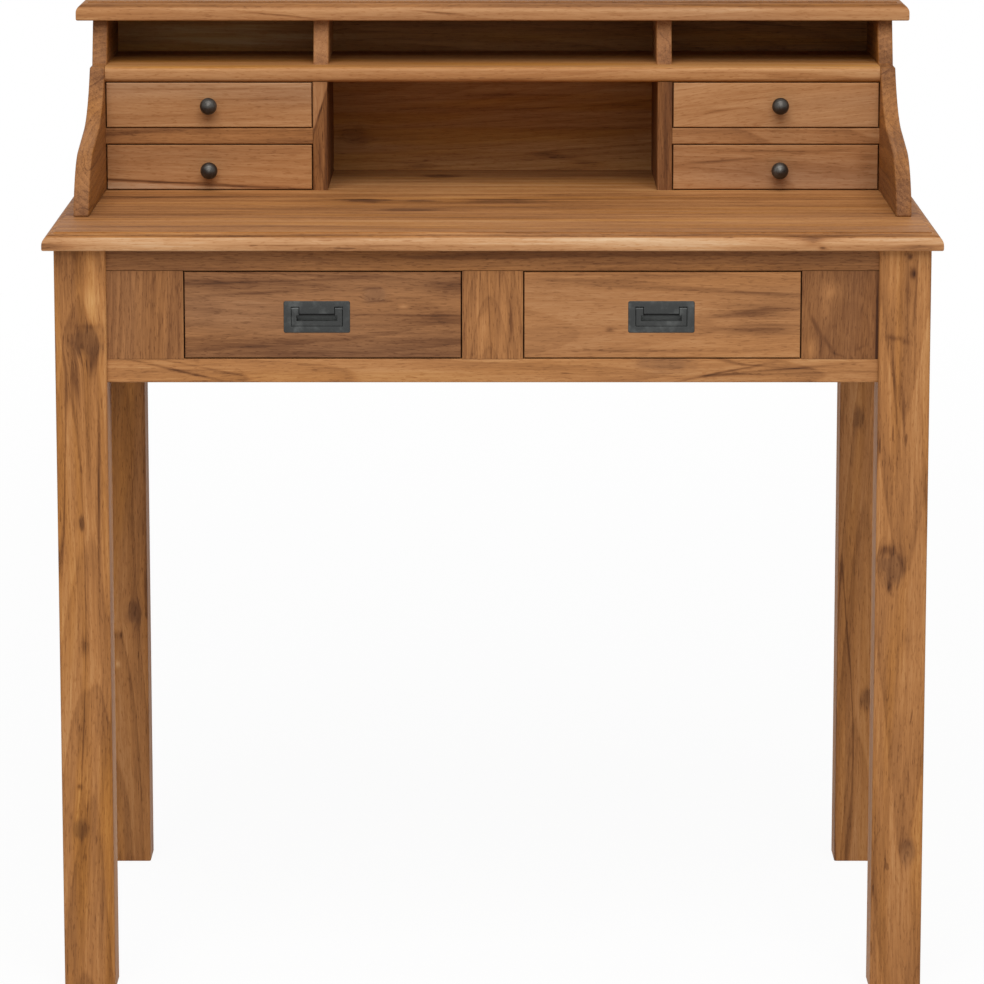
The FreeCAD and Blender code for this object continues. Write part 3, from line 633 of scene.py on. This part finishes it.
def add_piece(name, points, faces, material, body, stands_for, sharp=30, bevel=0.0):
    """A new piece on a body from its points and faces, smooth apart from edges sharper than an angle."""
    mesh = bpy.data.meshes.new(name)
    mesh.from_pydata(np.asarray(points).reshape(-1, 3).tolist(), [], faces)
    mesh.update()
    piece = place_piece(name, mesh, material, body, stands_for, sharp)
    if bevel:
        rounding = piece.modifiers.new("eased_edges", "BEVEL")
        rounding.width = bevel
        rounding.segments = EASE_STEPS
        rounding.limit_method = "ANGLE"
        rounding.angle_limit = EASED
    return piece


def eased_copy(node, material, body, ease, face_only=False):
    """A new piece that copies a solid of the frame and rounds its edges.

    Merging its loose triangles and dissolving the flat edges gives whole faces. An edge is rounded if it is
    sharp and both its ends lie on two of the six planes of the solid's box, or, with face_only, on the
    plane of its front.
    """
    low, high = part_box(node)
    edit = bmesh.new()
    edit.from_mesh(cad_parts[node].data)
    bmesh.ops.remove_doubles(edit, verts=edit.verts, dist=JOIN)
    bmesh.ops.dissolve_limit(edit, angle_limit=FLAT, verts=edit.verts, edges=edit.edges)
    sharp = [edge for edge in edit.edges if edge.calc_face_angle(0) > SHARP]
    ends = np.array([[vert.co for vert in edge.verts] for edge in sharp])
    planes = np.concatenate([np.abs(ends - np.array(low)), np.abs(ends - np.array(high))], axis=-1) < ON_PLANE
    shared = planes.all(axis=1)
    chosen = shared[:, 1] if face_only else shared.sum(axis=-1) >= 2
    bmesh.ops.bevel(edit, geom=[sharp[i] for i in np.flatnonzero(chosen)], offset=ease,
                    segments=EASE_STEPS, affect="EDGES", profile=0.5, clamp_overlap=True)
    name = "eased_" + node
    mesh = bpy.data.meshes.new(name)
    edit.to_mesh(mesh)
    edit.free()
    return place_piece(name, mesh, material, body, [node])


def ring_faces(rows, columns):
    """Quads of a grid whose rows close on themselves.

    Each joins a point, the next one of its row and the two that stand over them in the next row.
    """
    row, column = np.meshgrid(np.arange(rows - 1), np.arange(columns), indexing="ij")
    following = (column + 1) % columns
    quads = np.stack([row * columns + column, row * columns + following,
                      (row + 1) * columns + following, (row + 1) * columns + column], axis=-1)
    return quads.reshape(-1, 4).tolist()


def moulded_board(low, high, width, drop, moulding, arris=0.0005):
    """Points and faces of a board with a moulded edge of a width and a drop all round.

    The profile gives an inset and a height for each point: flat, small step with a bevelled arris, quarter
    ellipse out to the lip, straight lip and a quarter circle under it. Each profile point is carried round
    the rectangle that is smaller than the board by its inset, so corners mitre.
    """
    thick = high[2] - low[2]
    step_foot = thick - moulding.step
    lip = thick - drop
    swell = np.linspace(0, np.pi / 2, SWELL_POINTS)
    under = np.linspace(0, np.pi / 2, LIP_POINTS)
    inset = np.concatenate([[width + arris, width], width * (1 - np.sin(swell)),
                            moulding.lip * (1 - np.cos(under))])
    up = np.concatenate([[thick, thick - arris], lip + (step_foot - lip) * np.cos(swell),
                         moulding.lip * (1 - np.sin(under))])
    signs = np.array([(-1, -1), (1, -1), (1, 1), (-1, 1)])
    low_xy, high_xy = np.array(low)[:2], np.array(high)[:2]
    flat = (low_xy + high_xy) / 2 + signs * ((high_xy - low_xy) / 2 - inset[:, None, None])
    height = np.broadcast_to((low[2] + up)[:, None, None], (*flat.shape[:2], 1))
    points = np.concatenate([flat, height], axis=-1)
    rows = len(inset)
    faces = [quad[::-1] for quad in ring_faces(rows, 4)]
    faces.append([0, 1, 2, 3])
    faces.append([(rows - 1) * 4 + i for i in (3, 2, 1, 0)])
    return points, faces


def scroll_outline(scroll, front, desk, shelf, head, back):
    """Outline of a hutch side in (Y, Z), from the foot up the front and round to the back.

    A circle leans back from the foot up to the neck's slope, a straight neck follows it, and a second
    circle of opposite bend touches the neck and ends at the ledge. Its start on the neck follows from
    its radius and the ledge's distance from the neck's line.
    """
    foot = np.array([front + scroll.foot, desk])
    round_centre = foot + scroll.swell * np.array([math.cos(scroll.lean), -math.sin(scroll.lean)])
    angles = np.linspace(scroll.lean, math.pi / 2 - scroll.slope, ROUND_POINTS)
    swell = round_centre + scroll.swell * np.stack([-np.cos(angles), np.sin(angles)], axis=-1)
    along = np.array([math.cos(scroll.slope), math.sin(scroll.slope)])
    over = np.array([-math.sin(scroll.slope), math.cos(scroll.slope)])
    ledge = np.array([front + scroll.ledge, shelf])
    reach = ledge - swell[-1]
    rise = reach @ over
    run = math.sqrt(scroll.hollow ** 2 - (scroll.hollow - rise) ** 2)
    start = swell[-1] + along * (reach @ along - run)
    bend = np.linspace(0, math.asin(run / scroll.hollow), HOLLOW_POINTS)[:, None]
    hollow = start + scroll.hollow * (along * np.sin(bend) + over * (1 - np.cos(bend)))
    rest = [(front + scroll.upright, shelf), (front + scroll.head, head), (back, head), (back, desk)]
    return np.concatenate([swell, hollow, rest])


def scroll_board(outline, panel_front, inner, step, outer):
    """Points and faces of a hutch side from its outline, with a rebate for the back panel.

    The outline stands at the inner face, where its two back points move forward to the panel, again at
    the rebate's step, and whole at the outer face.
    """
    count = len(outline)
    short = outline.copy()
    short[-2:, 0] = panel_front

    def at(x, flat):
        return np.column_stack([np.full(len(flat), x), flat])

    points = np.concatenate([at(inner, short), at(step, short), at(outer, outline), at(step, outline[-2:])])
    first = np.arange(count - 3)
    here = np.arange(count)
    there = (here + 1) % count
    inner_wall = np.stack([here, here + count, there + count, there], axis=-1).tolist()
    outer_wall = np.stack([first + count, first + 2 * count, first + 2 * count + 1, first + count + 1],
                          axis=-1)
    head, heel = count - 2, count - 1
    step_head, step_heel = 3 * count, 3 * count + 1
    faces = inner_wall + outer_wall.tolist() + [
        list(range(count)),
        list(range(3 * count - 1, 2 * count - 1, -1)),
        [head - 1 + count, head - 1 + 2 * count, head + 2 * count, step_head, head + count],
        [head + count, step_head, step_heel, heel + count],
        [step_head, head + 2 * count, heel + 2 * count, step_heel],
        [heel + count, step_heel, heel + 2 * count, 2 * count, count],
    ]
    return points, faces


def lathe(profile, centre, turns=64):
    """Points and faces of a turned shape that points to -Y.

    Each profile point (radius, reach) is carried round the axis: X and Z are the radius times the
    cosine and sine of the angle, Y is the reach taken forward. First and last radii are zero.
    """
    radius, reach = np.asarray(profile)[1:-1].T
    angle = np.arange(turns) * (2 * np.pi / turns)
    points = np.stack(np.broadcast_arrays(radius[:, None] * np.cos(angle), -reach[:, None],
                                          radius[:, None] * np.sin(angle)), axis=-1).reshape(-1, 3)
    ends = np.array([(0, -profile[0][1], 0), (0, -profile[-1][1], 0)])
    points = np.concatenate([points, ends]) + np.asarray(centre)
    rows = len(radius)
    this = np.arange(turns)
    following = (this + 1) % turns
    last = (rows - 1) * turns
    back = np.stack([np.full(turns, rows * turns), following, this], axis=-1)
    front = np.stack([np.full(turns, rows * turns + 1), last + this, last + following], axis=-1)
    return points, ring_faces(rows, turns) + back.tolist() + front.tolist()


# Operators

SMALL_DRAWERS = ("upper_left", "lower_left", "upper_right", "lower_right")


def finish_boards(boards, settings):
    """Give each named board of the frame its own teak."""
    for node, board in boards.items():
        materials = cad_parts[node].data.materials
        materials.clear()
        materials.append(teak(node, board, settings))


def inner_board(axes, seed):
    """A plain pale board of a drawer's box."""
    return Board(axes, seed, tone=0.08, figure=0.6, rose=0.1)


def add_moulded(node, name, board, desk, width, drop):
    """A moulded board that stands for a plain one, with marks that go on over its front edge."""
    low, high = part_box(node)
    board.roll = high.z
    points, faces = moulded_board(low, high, width, drop, desk.moulding)
    add_piece(name, points, faces, teak(node, board, desk.teak), "desk_frame", [node])


class DESK_OT_desktop(bpy.types.Operator):
    """Make the moulded desktop of glued teak strips"""

    bl_idname = "desk.desktop"
    bl_label = "Desktop"

    def execute(self, context):
        desk = context.scene.campaign_desk
        board = Board("XYZ", 3, tone=-0.05, strip=(0.117, -0.124), heart=(0.0, -0.05), figure=0.7, amber=0.65,
                      coarse=1.7, edges=[(-0.3010, 0.0, -0.0014, 0.30)])
        moulding = desk.moulding
        add_moulded("desktop", "desktop_board", board, desk, moulding.desk_inset, moulding.desk_drop)
        return {"FINISHED"}


class DESK_OT_legs(bpy.types.Operator):
    """Ease the edges of the four legs and finish them"""

    bl_idname = "desk.legs"
    bl_label = "Legs"

    def execute(self, context):
        desk = context.scene.campaign_desk
        legs = {
            "front_left_leg": Board(
                "ZXY", 11, tone=0.02, amber=0.95, heart=(-0.004, 0.045), tilt=(0.0, 0.03), coarse=1.3),
            "front_right_leg": Board(
                "ZXY", 12, tone=0.05, amber=0.75, heart=(0.006, 0.05), tilt=(0.0, -0.03), coarse=1.3),
            "back_left_leg": Board(
                "ZXY", 13, tone=-0.08, amber=0.7, heart=(-0.01, 0.04), tilt=(0.0, 0.04)),
            "back_right_leg": Board(
                "ZXY", 14, tone=0.03, amber=0.4, heart=(0.004, 0.03), tilt=(0.0, 0.04)),
        }
        for node, board in legs.items():
            eased_copy(node, teak(node, board, desk.teak), "desk_frame", desk.scroll.ease)
        return {"FINISHED"}


class DESK_OT_front_frame(bpy.types.Operator):
    """Finish the rails and stiles round the main drawers"""

    bl_idname = "desk.front_frame"
    bl_label = "Front frame"

    def execute(self, context):
        finish_boards({
            # The top rail's low tone is partly its wood and partly painted shadow under the desktop's lip
            "front_top_rail": Board(
                "XZY", 26, tone=-0.17, rose=0.35, heart=(0.05, 0.03), figure=0.4, coarse=0.6),
            "front_bottom_rail": Board(
                "XZY", 22, tone=0.06, rose=0.3, heart=(-0.01, 0.03), tilt=(0.02, 0.03)),
            "left_front_stile": Board(
                "ZXY", 23, tone=-0.15, rose=0.4, amber=0.15, heart=(0.06, 0.05), figure=0.5, broad=0.6,
                coarse=0.8),
            "centre_front_stile": Board(
                "ZXY", 24, tone=-0.08, amber=0.25, heart=(0.0, 0.02), tilt=(0.0, 0.12), figure=0.6),
            "right_front_stile": Board(
                "ZXY", 25, tone=-0.19, rose=0.4, amber=0.2, heart=(0.010, 0.060), tilt=(0.0, 0.15),
                figure=0.15, sway=0.024, broad=0.9, coarse=0.3),
        }, context.scene.campaign_desk.teak)
        return {"FINISHED"}


class DESK_OT_aprons(bpy.types.Operator):
    """Finish the side and back aprons and the drawers' runners, kickers and stops"""

    bl_idname = "desk.aprons"
    bl_label = "Aprons and runners"

    def execute(self, context):
        finish_boards({
            "left_side_apron": Board("YZX", 31, heart=(-0.03, 0.05), tilt=(0.03, 0.05)),
            "right_side_apron": Board("YZX", 32, heart=(0.02, -0.05), tilt=(-0.02, 0.05)),
            "back_apron": Board("XZY", 33, tone=-0.03, heart=(0.02, -0.05), tilt=(0.03, 0.03)),
            "drawer_runners": Board("YXZ", 34, tone=0.04, figure=0.7),
            "drawer_kickers": Board("YXZ", 35, tone=0.04, figure=0.7),
            "drawer_stops": Board("XZY", 36, tone=0.04, figure=0.7),
        }, context.scene.campaign_desk.teak)
        return {"FINISHED"}


class DESK_OT_hutch_sides(bpy.types.Operator):
    """Make the two scrolled hutch sides with eased edges"""

    bl_idname = "desk.hutch_sides"
    bl_label = "Hutch sides"

    def execute(self, context):
        desk = context.scene.campaign_desk
        desktop_low, desktop_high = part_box("desktop")
        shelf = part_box("hutch_shelf")[1].z
        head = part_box("hutch_top")[0].z
        panel_low, panel_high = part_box("hutch_back_panel")
        outline = scroll_outline(desk.scroll, desktop_low.y, desktop_high.z, shelf, head, panel_high.y)
        for number, side in enumerate(("left", "right")):
            node = "hutch_" + side + "_side"
            low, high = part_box(node)
            inner, outer = (low.x, high.x) if side == "right" else (high.x, low.x)
            step = panel_high.x if side == "right" else panel_low.x
            points, faces = scroll_board(outline, panel_low.y, inner, step, outer)
            if side == "left":
                faces = [face[::-1] for face in faces]
            # The sides' broad faces keep a warmer tint than their edges: painted warm bounce light
            board = Board("YZX", 41 + number, tone=-0.09, amber=1.25, heart=(-0.03, 0.03), figure=0.6,
                          end=0.04, painted_bounce_warmth=0.68)
            add_piece("scrolled_" + side + "_side", points, faces, teak(node, board, desk.teak),
                      "desk_frame", [node], bevel=desk.scroll.ease)
        return {"FINISHED"}


class DESK_OT_hutch_boards(bpy.types.Operator):
    """Make the moulded hutch top and finish the boards of the hutch"""

    bl_idname = "desk.hutch_boards"
    bl_label = "Hutch boards"

    def execute(self, context):
        desk = context.scene.campaign_desk
        # The edge makes the flat top darker than the moulding in front of it, which is painted shade, and the
        # warm tint kept on the faces is painted warm bounce light
        board = Board("XYZ", 51, tone=0.14, rose=0.55, amber=0.95, painted_bounce_warmth=0.95, heart=(0.02, -0.05),
                      figure=0.7, coarse=0.8, edges=[(0.0955, 0.0, 0.0025, -0.22)])
        moulding = desk.moulding
        add_moulded("hutch_top", "hutch_top_board", board, desk, moulding.hutch_inset, moulding.hutch_drop)
        # The shelf's top keeps a warmer tint than its front edge: painted warm bounce light
        board = Board("XYZ", 52, tone=0.14, rose=0.3, amber=1.2, painted_bounce_warmth=0.84, heart=(0.02, 0.05),
                      figure=0.7, coarse=0.8)
        material = teak("hutch_shelf", board, desk.teak)
        eased_copy("hutch_shelf", material, "desk_frame", desk.scroll.ease / 2)
        finish_boards({
            "left_partition": Board(
                "ZXY", 53, tone=-0.30, heart=(0.02, 0.04), edges=[(-0.1922, 0.307, -0.0012, 0.24)]),
            "right_partition": Board("ZXY", 54, tone=-0.225, rose=0.5, heart=(0.02, 0.04)),
            "left_small_drawer_rail": Board("XZY", 55, tone=-0.21, heart=(0.02, 0.04)),
            "right_small_drawer_rail": Board(
                "XZY", 56, tone=0.02, rose=0.4, amber=0.05, heart=(-0.02, 0.04)),
            "left_pigeonhole_divider": Board("YXZ", 57, tone=0.15, heart=(0.02, 0.04), figure=0.4),
            "right_pigeonhole_divider": Board(
                "YXZ", 58, tone=0.10, amber=0.1, heart=(-0.012, 0.0), figure=0.4),
            "hutch_back_panel": Board(
                "XZY", 59, tone=0.01, amber=1.3, heart=(0.03, 0.05), tilt=(0.02, 0.05), figure=0.7),
        }, desk.teak)
        return {"FINISHED"}


class DESK_OT_main_drawers(bpy.types.Operator):
    """Finish the boards of the two main drawers"""

    bl_idname = "desk.main_drawers"
    bl_label = "Main drawers"

    def execute(self, context):
        boards = {
            "left_drawer_front": Board(
                "XZY", 61, tone=-0.06, rose=0.95, amber=0.05, heart=(0.005, 0.06), tilt=(0.0, 0.06),
                figure=0.5, coarse=0.6),
            "right_drawer_front": Board(
                "XZY", 62, tone=0.04, rose=0.45, amber=0.05, heart=(-0.01, 0.07), tilt=(0.03, 0.05),
                figure=0.5, coarse=0.6),
        }
        parts = {"left_side": ("YZX", 72), "right_side": ("YZX", 73), "back": ("XZY", 67),
                 "bottom": ("XYZ", 69)}
        for number, side in enumerate(("left", "right")):
            for part, (axes, seed) in parts.items():
                boards[side + "_drawer_" + part] = inner_board(axes, seed + number * len(parts))
        finish_boards(boards, context.scene.campaign_desk.teak)
        return {"FINISHED"}


class DESK_OT_small_drawers(bpy.types.Operator):
    """Finish the boards of the four hutch drawers"""

    bl_idname = "desk.small_drawers"
    bl_label = "Small drawers"

    def execute(self, context):
        boards = {
            "upper_left_small_drawer_front": Board(
                "XZY", 81, tone=0.21, rose=0.8, amber=0.0, heart=(0.03, 0.04), figure=0.5, coarse=0.75),
            "lower_left_small_drawer_front": Board(
                "XZY", 82, tone=0.10, rose=0.5, amber=0.05, heart=(-0.03, 0.04), figure=0.5, coarse=0.75,
                edges=[(0.7892, -0.047, -0.001, 0.18)]),
            "upper_right_small_drawer_front": Board(
                "XZY", 83, tone=0.15, rose=0.65, amber=0.0, heart=(-0.02, 0.05), slant=0.12, figure=0.5,
                coarse=0.75),
            "lower_right_small_drawer_front": Board(
                "XZY", 84, tone=0.08, rose=1.0, amber=0.0, heart=(-0.02, 0.05), figure=0.6, coarse=0.85),
        }
        for number, place in enumerate(SMALL_DRAWERS):
            name = place + "_small_drawer_"
            boards[name + "box"] = inner_board("YZX", 91 + number)
            boards[name + "bottom"] = inner_board("XYZ", 95 + number)
        finish_boards(boards, context.scene.campaign_desk.teak)
        return {"FINISHED"}


# Scales of the metal's patches and grit, and what each does to wear, roughness and height
PATCH_SCALE, GRIT_SCALE = (55.0, 55.0, 55.0), (900.0, 900.0, 900.0)
RUBBED_LEVEL = (0.45, 0.72)
PATCH = {"wear": 0.55, "rough": 0.22, "relief": 0.3}
GRIT = {"wear": 0.35, "rough": 0.15, "relief": 0.7}
METAL_BUMP, METAL_BUMP_DEPTH = 0.25, 0.0003

# Painted shadow under a pull's tongue, in the depth of its cup: its black, and how softly it begins
PAINTED_SHADOW_BLACK = (0.004, 0.003, 0.003)
PAINTED_SHADOW_SOFTNESS = 0.0015


def blackened_metal(name, dark, worn, roughness, metallic, past, painted_shadow_from=None):
    """Blackened metal with rubbed patches: two noises choose between the dark and the worn colour.

    past is (plane, reach, gain): going past the plane in Y by the reach, the colour moves towards the worn
    one by the gain. In the pulls' cups this is painted light; on the knobs' noses it is rubbed wear with a
    painted highlight. Above a given height, what lies past the plane is black: painted shadow under a pull's
    tongue.
    """
    plane, reach, light_and_wear_gain = past
    nodes = Nodes(bpy.data.materials.new(name))
    x, y, z = nodes.parts("Object")
    place = nodes.place(x, y, z)
    patch = nodes.noise(place, PATCH_SCALE, salt=1.3, detail=3.0, roughness=0.6)
    grit = nodes.noise(place, GRIT_SCALE, salt=2.1)
    rubbed = patch.smooth(*RUBBED_LEVEL) * PATCH["wear"] + (grit - 0.5) * GRIT["wear"]
    behind = ((y - plane) / reach).smooth(0.0, 1.0)
    # Past the plane the colour moves to the worn one: painted light in the pulls' cups, and rubbed wear with
    # a painted highlight on the knobs' noses
    colour = nodes.mix(rubbed + behind * light_and_wear_gain, tuple(dark), tuple(worn))
    # Black above a height past the plane: painted shadow under the pull's tongue
    if painted_shadow_from is not None:
        painted_shadow = behind * ((z - painted_shadow_from) / PAINTED_SHADOW_SOFTNESS).smooth(-1.0, 1.0)
        colour = nodes.mix(painted_shadow, colour, PAINTED_SHADOW_BLACK)
    level = roughness + (patch - 0.5) * PATCH["rough"] + (grit - 0.5) * GRIT["rough"]
    height = grit * GRIT["relief"] + patch * PATCH["relief"]
    return nodes.finish(colour, level, height, METAL_BUMP, METAL_BUMP_DEPTH, Metallic=metallic)


class DESK_OT_pulls(bpy.types.Operator):
    """Finish the flush iron pulls of the main drawers"""

    bl_idname = "desk.pulls"
    bl_label = "Flush pulls"

    def execute(self, context):
        metal = context.scene.campaign_desk.metal
        low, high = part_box("left_pull_bail")
        slot_depth, bar_height = 0.004, 0.0090
        # Deeper than the bail's back the cup's iron is paler, which is painted light, and above the bar it is
        # black, which is painted shadow under the tongue
        iron = blackened_metal("blackened_iron", metal.iron, metal.worn, roughness=0.46, metallic=0.6,
                               past=(high.y, slot_depth, 0.6), painted_shadow_from=low.z + bar_height)
        for side in ("left", "right"):
            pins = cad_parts[side + "_pull_pins"].data.materials
            pins.clear()
            pins.append(iron)
            for part, body in (("plate", "drawer"), ("bail", "bail")):
                node = side + "_pull_" + part
                eased_copy(node, iron, side + "_" + body, metal.ease, face_only=True)
        return {"FINISHED"}


class DESK_OT_knobs(bpy.types.Operator):
    """Turn the four ball knobs"""

    bl_idname = "desk.knobs"
    bl_label = "Knobs"

    def execute(self, context):
        metal = context.scene.campaign_desk.metal
        ball, reach = metal.ball, metal.reach
        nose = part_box("upper_left_small_drawer_front")[0].y - reach
        # Towards the front of each ball the bronze turns to the rubbed colour: rubbed wear with a painted
        # highlight
        bronze = blackened_metal("dark_bronze", metal.bronze, metal.rubbed, roughness=0.42, metallic=0.75,
                                 past=(nose, -ball, 0.36))
        neck_share, button_share = 3.6 / 8.8, 2.6 / 8.8
        groove_depth, groove_turn, groove_width = 0.028, 2.55, 0.07
        # The ball is an arc from neck to button, whose radius dips by a bell curve at the turned groove
        turn = np.linspace(math.asin(neck_share), math.pi - math.asin(button_share), BALL_POINTS)
        radius = ball * (1 - groove_depth * np.exp(-((turn - groove_turn) / groove_width) ** 2))
        round_part = np.stack([radius * np.sin(turn), reach - radius * np.cos(turn)], axis=-1)
        foot = [(0, 0), (0.0062, 0), (0.0065, 0.0003), (0.0065, 0.0015), (0.0061, 0.002), (0.0042, 0.0022),
                (0.0036, 0.0028)]
        nose_reach = reach + ball
        button = [(0.0026, nose_reach + 0.0003), (0.0021, nose_reach + 0.0006), (0, nose_reach + 0.0006)]
        profile = foot + round_part.tolist() + button
        for place in SMALL_DRAWERS:
            node = place + "_knob"
            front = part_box(place + "_small_drawer_front")[0].y
            low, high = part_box(node)
            centre = ((low.x + high.x) / 2, front, (low.z + high.z) / 2)
            points, faces = lathe(profile, centre)
            add_piece("turned_" + node, points, faces, bronze, place + "_small_drawer", [node],
                      sharp=40)
        return {"FINISHED"}


def softbox(name, place, target, size, power):
    """A rectangular area lamp at a place, turned to a target."""
    lamp = bpy.data.lights.new(name, "AREA")
    lamp.shape = "RECTANGLE"
    lamp.size, lamp.size_y = size
    lamp.energy = power
    holder = bpy.data.objects.new(name, lamp)
    holder.location = place
    holder.rotation_euler = (holder.location - Vector(target)).to_track_quat("Z", "Y").to_euler()
    bpy.context.scene.collection.objects.link(holder)


class DESK_OT_stage(bpy.types.Operator):
    """Set up the floor, the light and the camera"""

    bl_idname = "desk.stage"
    bl_label = "Stage"

    def execute(self, context):
        stage = context.scene.campaign_desk.stage
        scene = context.scene
        scene.view_settings.view_transform = "Standard"
        floor_reach, near_glow, near, far = 60.0, 0.94, 1.0, 5.0
        mesh = bpy.data.meshes.new("studio_floor")
        corners = np.array([(-1, -1, 0), (1, -1, 0), (1, 1, 0), (-1, 1, 0)]) * floor_reach
        mesh.from_pydata(corners.tolist(), [], [(0, 1, 2, 3)])
        floor = bpy.data.objects.new("studio_floor", mesh)
        scene.collection.objects.link(floor)
        nodes = Nodes(bpy.data.materials.new("pale_floor"))
        matt = nodes.add("ShaderNodeBsdfDiffuse", {}, {"Color": (*stage.floor, 1)})
        glow = nodes.add("ShaderNodeEmission", {}, {"Color": (1, 1, 1, 1), "Strength": 1.0})
        x, y = nodes.parts("Object")[:2]
        away = (x * x + y * y).apply("SQRT").smooth(near, far)
        glow_share = near_glow + away * (1 - near_glow)
        both = nodes.add("ShaderNodeMixShader", {}, {0: nodes.seen() * glow_share, 1: matt.outputs[0],
                                                     2: glow.outputs[0]})
        nodes.add("ShaderNodeOutputMaterial", {}, {"Surface": both.outputs[0]})
        mesh.materials.append(nodes.owner)

        scene.world = bpy.data.worlds.new("studio")
        nodes = Nodes(scene.world)
        strength = stage.fill + nodes.seen() * (1 - stage.fill)
        light = nodes.add("ShaderNodeBackground", {}, {"Color": (1, 1, 1, 1), "Strength": strength})
        nodes.add("ShaderNodeOutputWorld", {}, {"Surface": light.outputs[0]})

        lamp_place, lamp_target, lamp_size = (0.0, -3.4, 4.5), (0.0, 0.0, 0.85), (4.0, 4.6)
        softbox("front_softbox", lamp_place, lamp_target, lamp_size, stage.key)

        camera_side, sensor, sight = -0.0006, 36.0, 200.0
        view = bpy.data.cameras.new("photo_camera")
        view.lens = stage.lens
        view.sensor_width = sensor
        view.clip_end = sight
        camera = bpy.data.objects.new("photo_camera", view)
        camera.location = (camera_side, -stage.camera_back, stage.camera_height)
        camera.rotation_euler = (math.pi / 2 - stage.camera_fall, 0, 0)
        scene.collection.objects.link(camera)
        scene.camera = camera
        return {"FINISHED"}


OPERATORS = (DESK_OT_desktop, DESK_OT_legs, DESK_OT_front_frame, DESK_OT_aprons, DESK_OT_hutch_sides,
             DESK_OT_hutch_boards, DESK_OT_main_drawers, DESK_OT_small_drawers, DESK_OT_pulls, DESK_OT_knobs,
             DESK_OT_stage)


class DESK_PT_pieces(bpy.types.Panel):
    """Lists the desk's pieces"""

    bl_idname = "DESK_PT_pieces"
    bl_label = "Campaign desk"
    bl_space_type = "VIEW_3D"
    bl_region_type = "UI"
    bl_category = "Desk"

    def draw(self, context):
        for operator in OPERATORS:
            self.layout.operator(operator.bl_idname)


CLASSES = (TeakSettings, MetalSettings, ScrollSettings, MouldingSettings, StageSettings, DeskSettings,
           *OPERATORS, DESK_PT_pieces)


def register():
    """Add the classes and the scene's settings."""
    for each in CLASSES:
        bpy.utils.register_class(each)
    bpy.types.Scene.campaign_desk = bpy.props.PointerProperty(type=DeskSettings)


def unregister():
    """Take the settings and the classes away again."""
    del bpy.types.Scene.campaign_desk
    for each in reversed(CLASSES):
        bpy.utils.unregister_class(each)


def main():
    """Build every piece."""
    register()
    for operator in OPERATORS:
        group, name = operator.bl_idname.split(".")
        getattr(getattr(bpy.ops, group), name)()


if __name__ == "__main__":
    main()
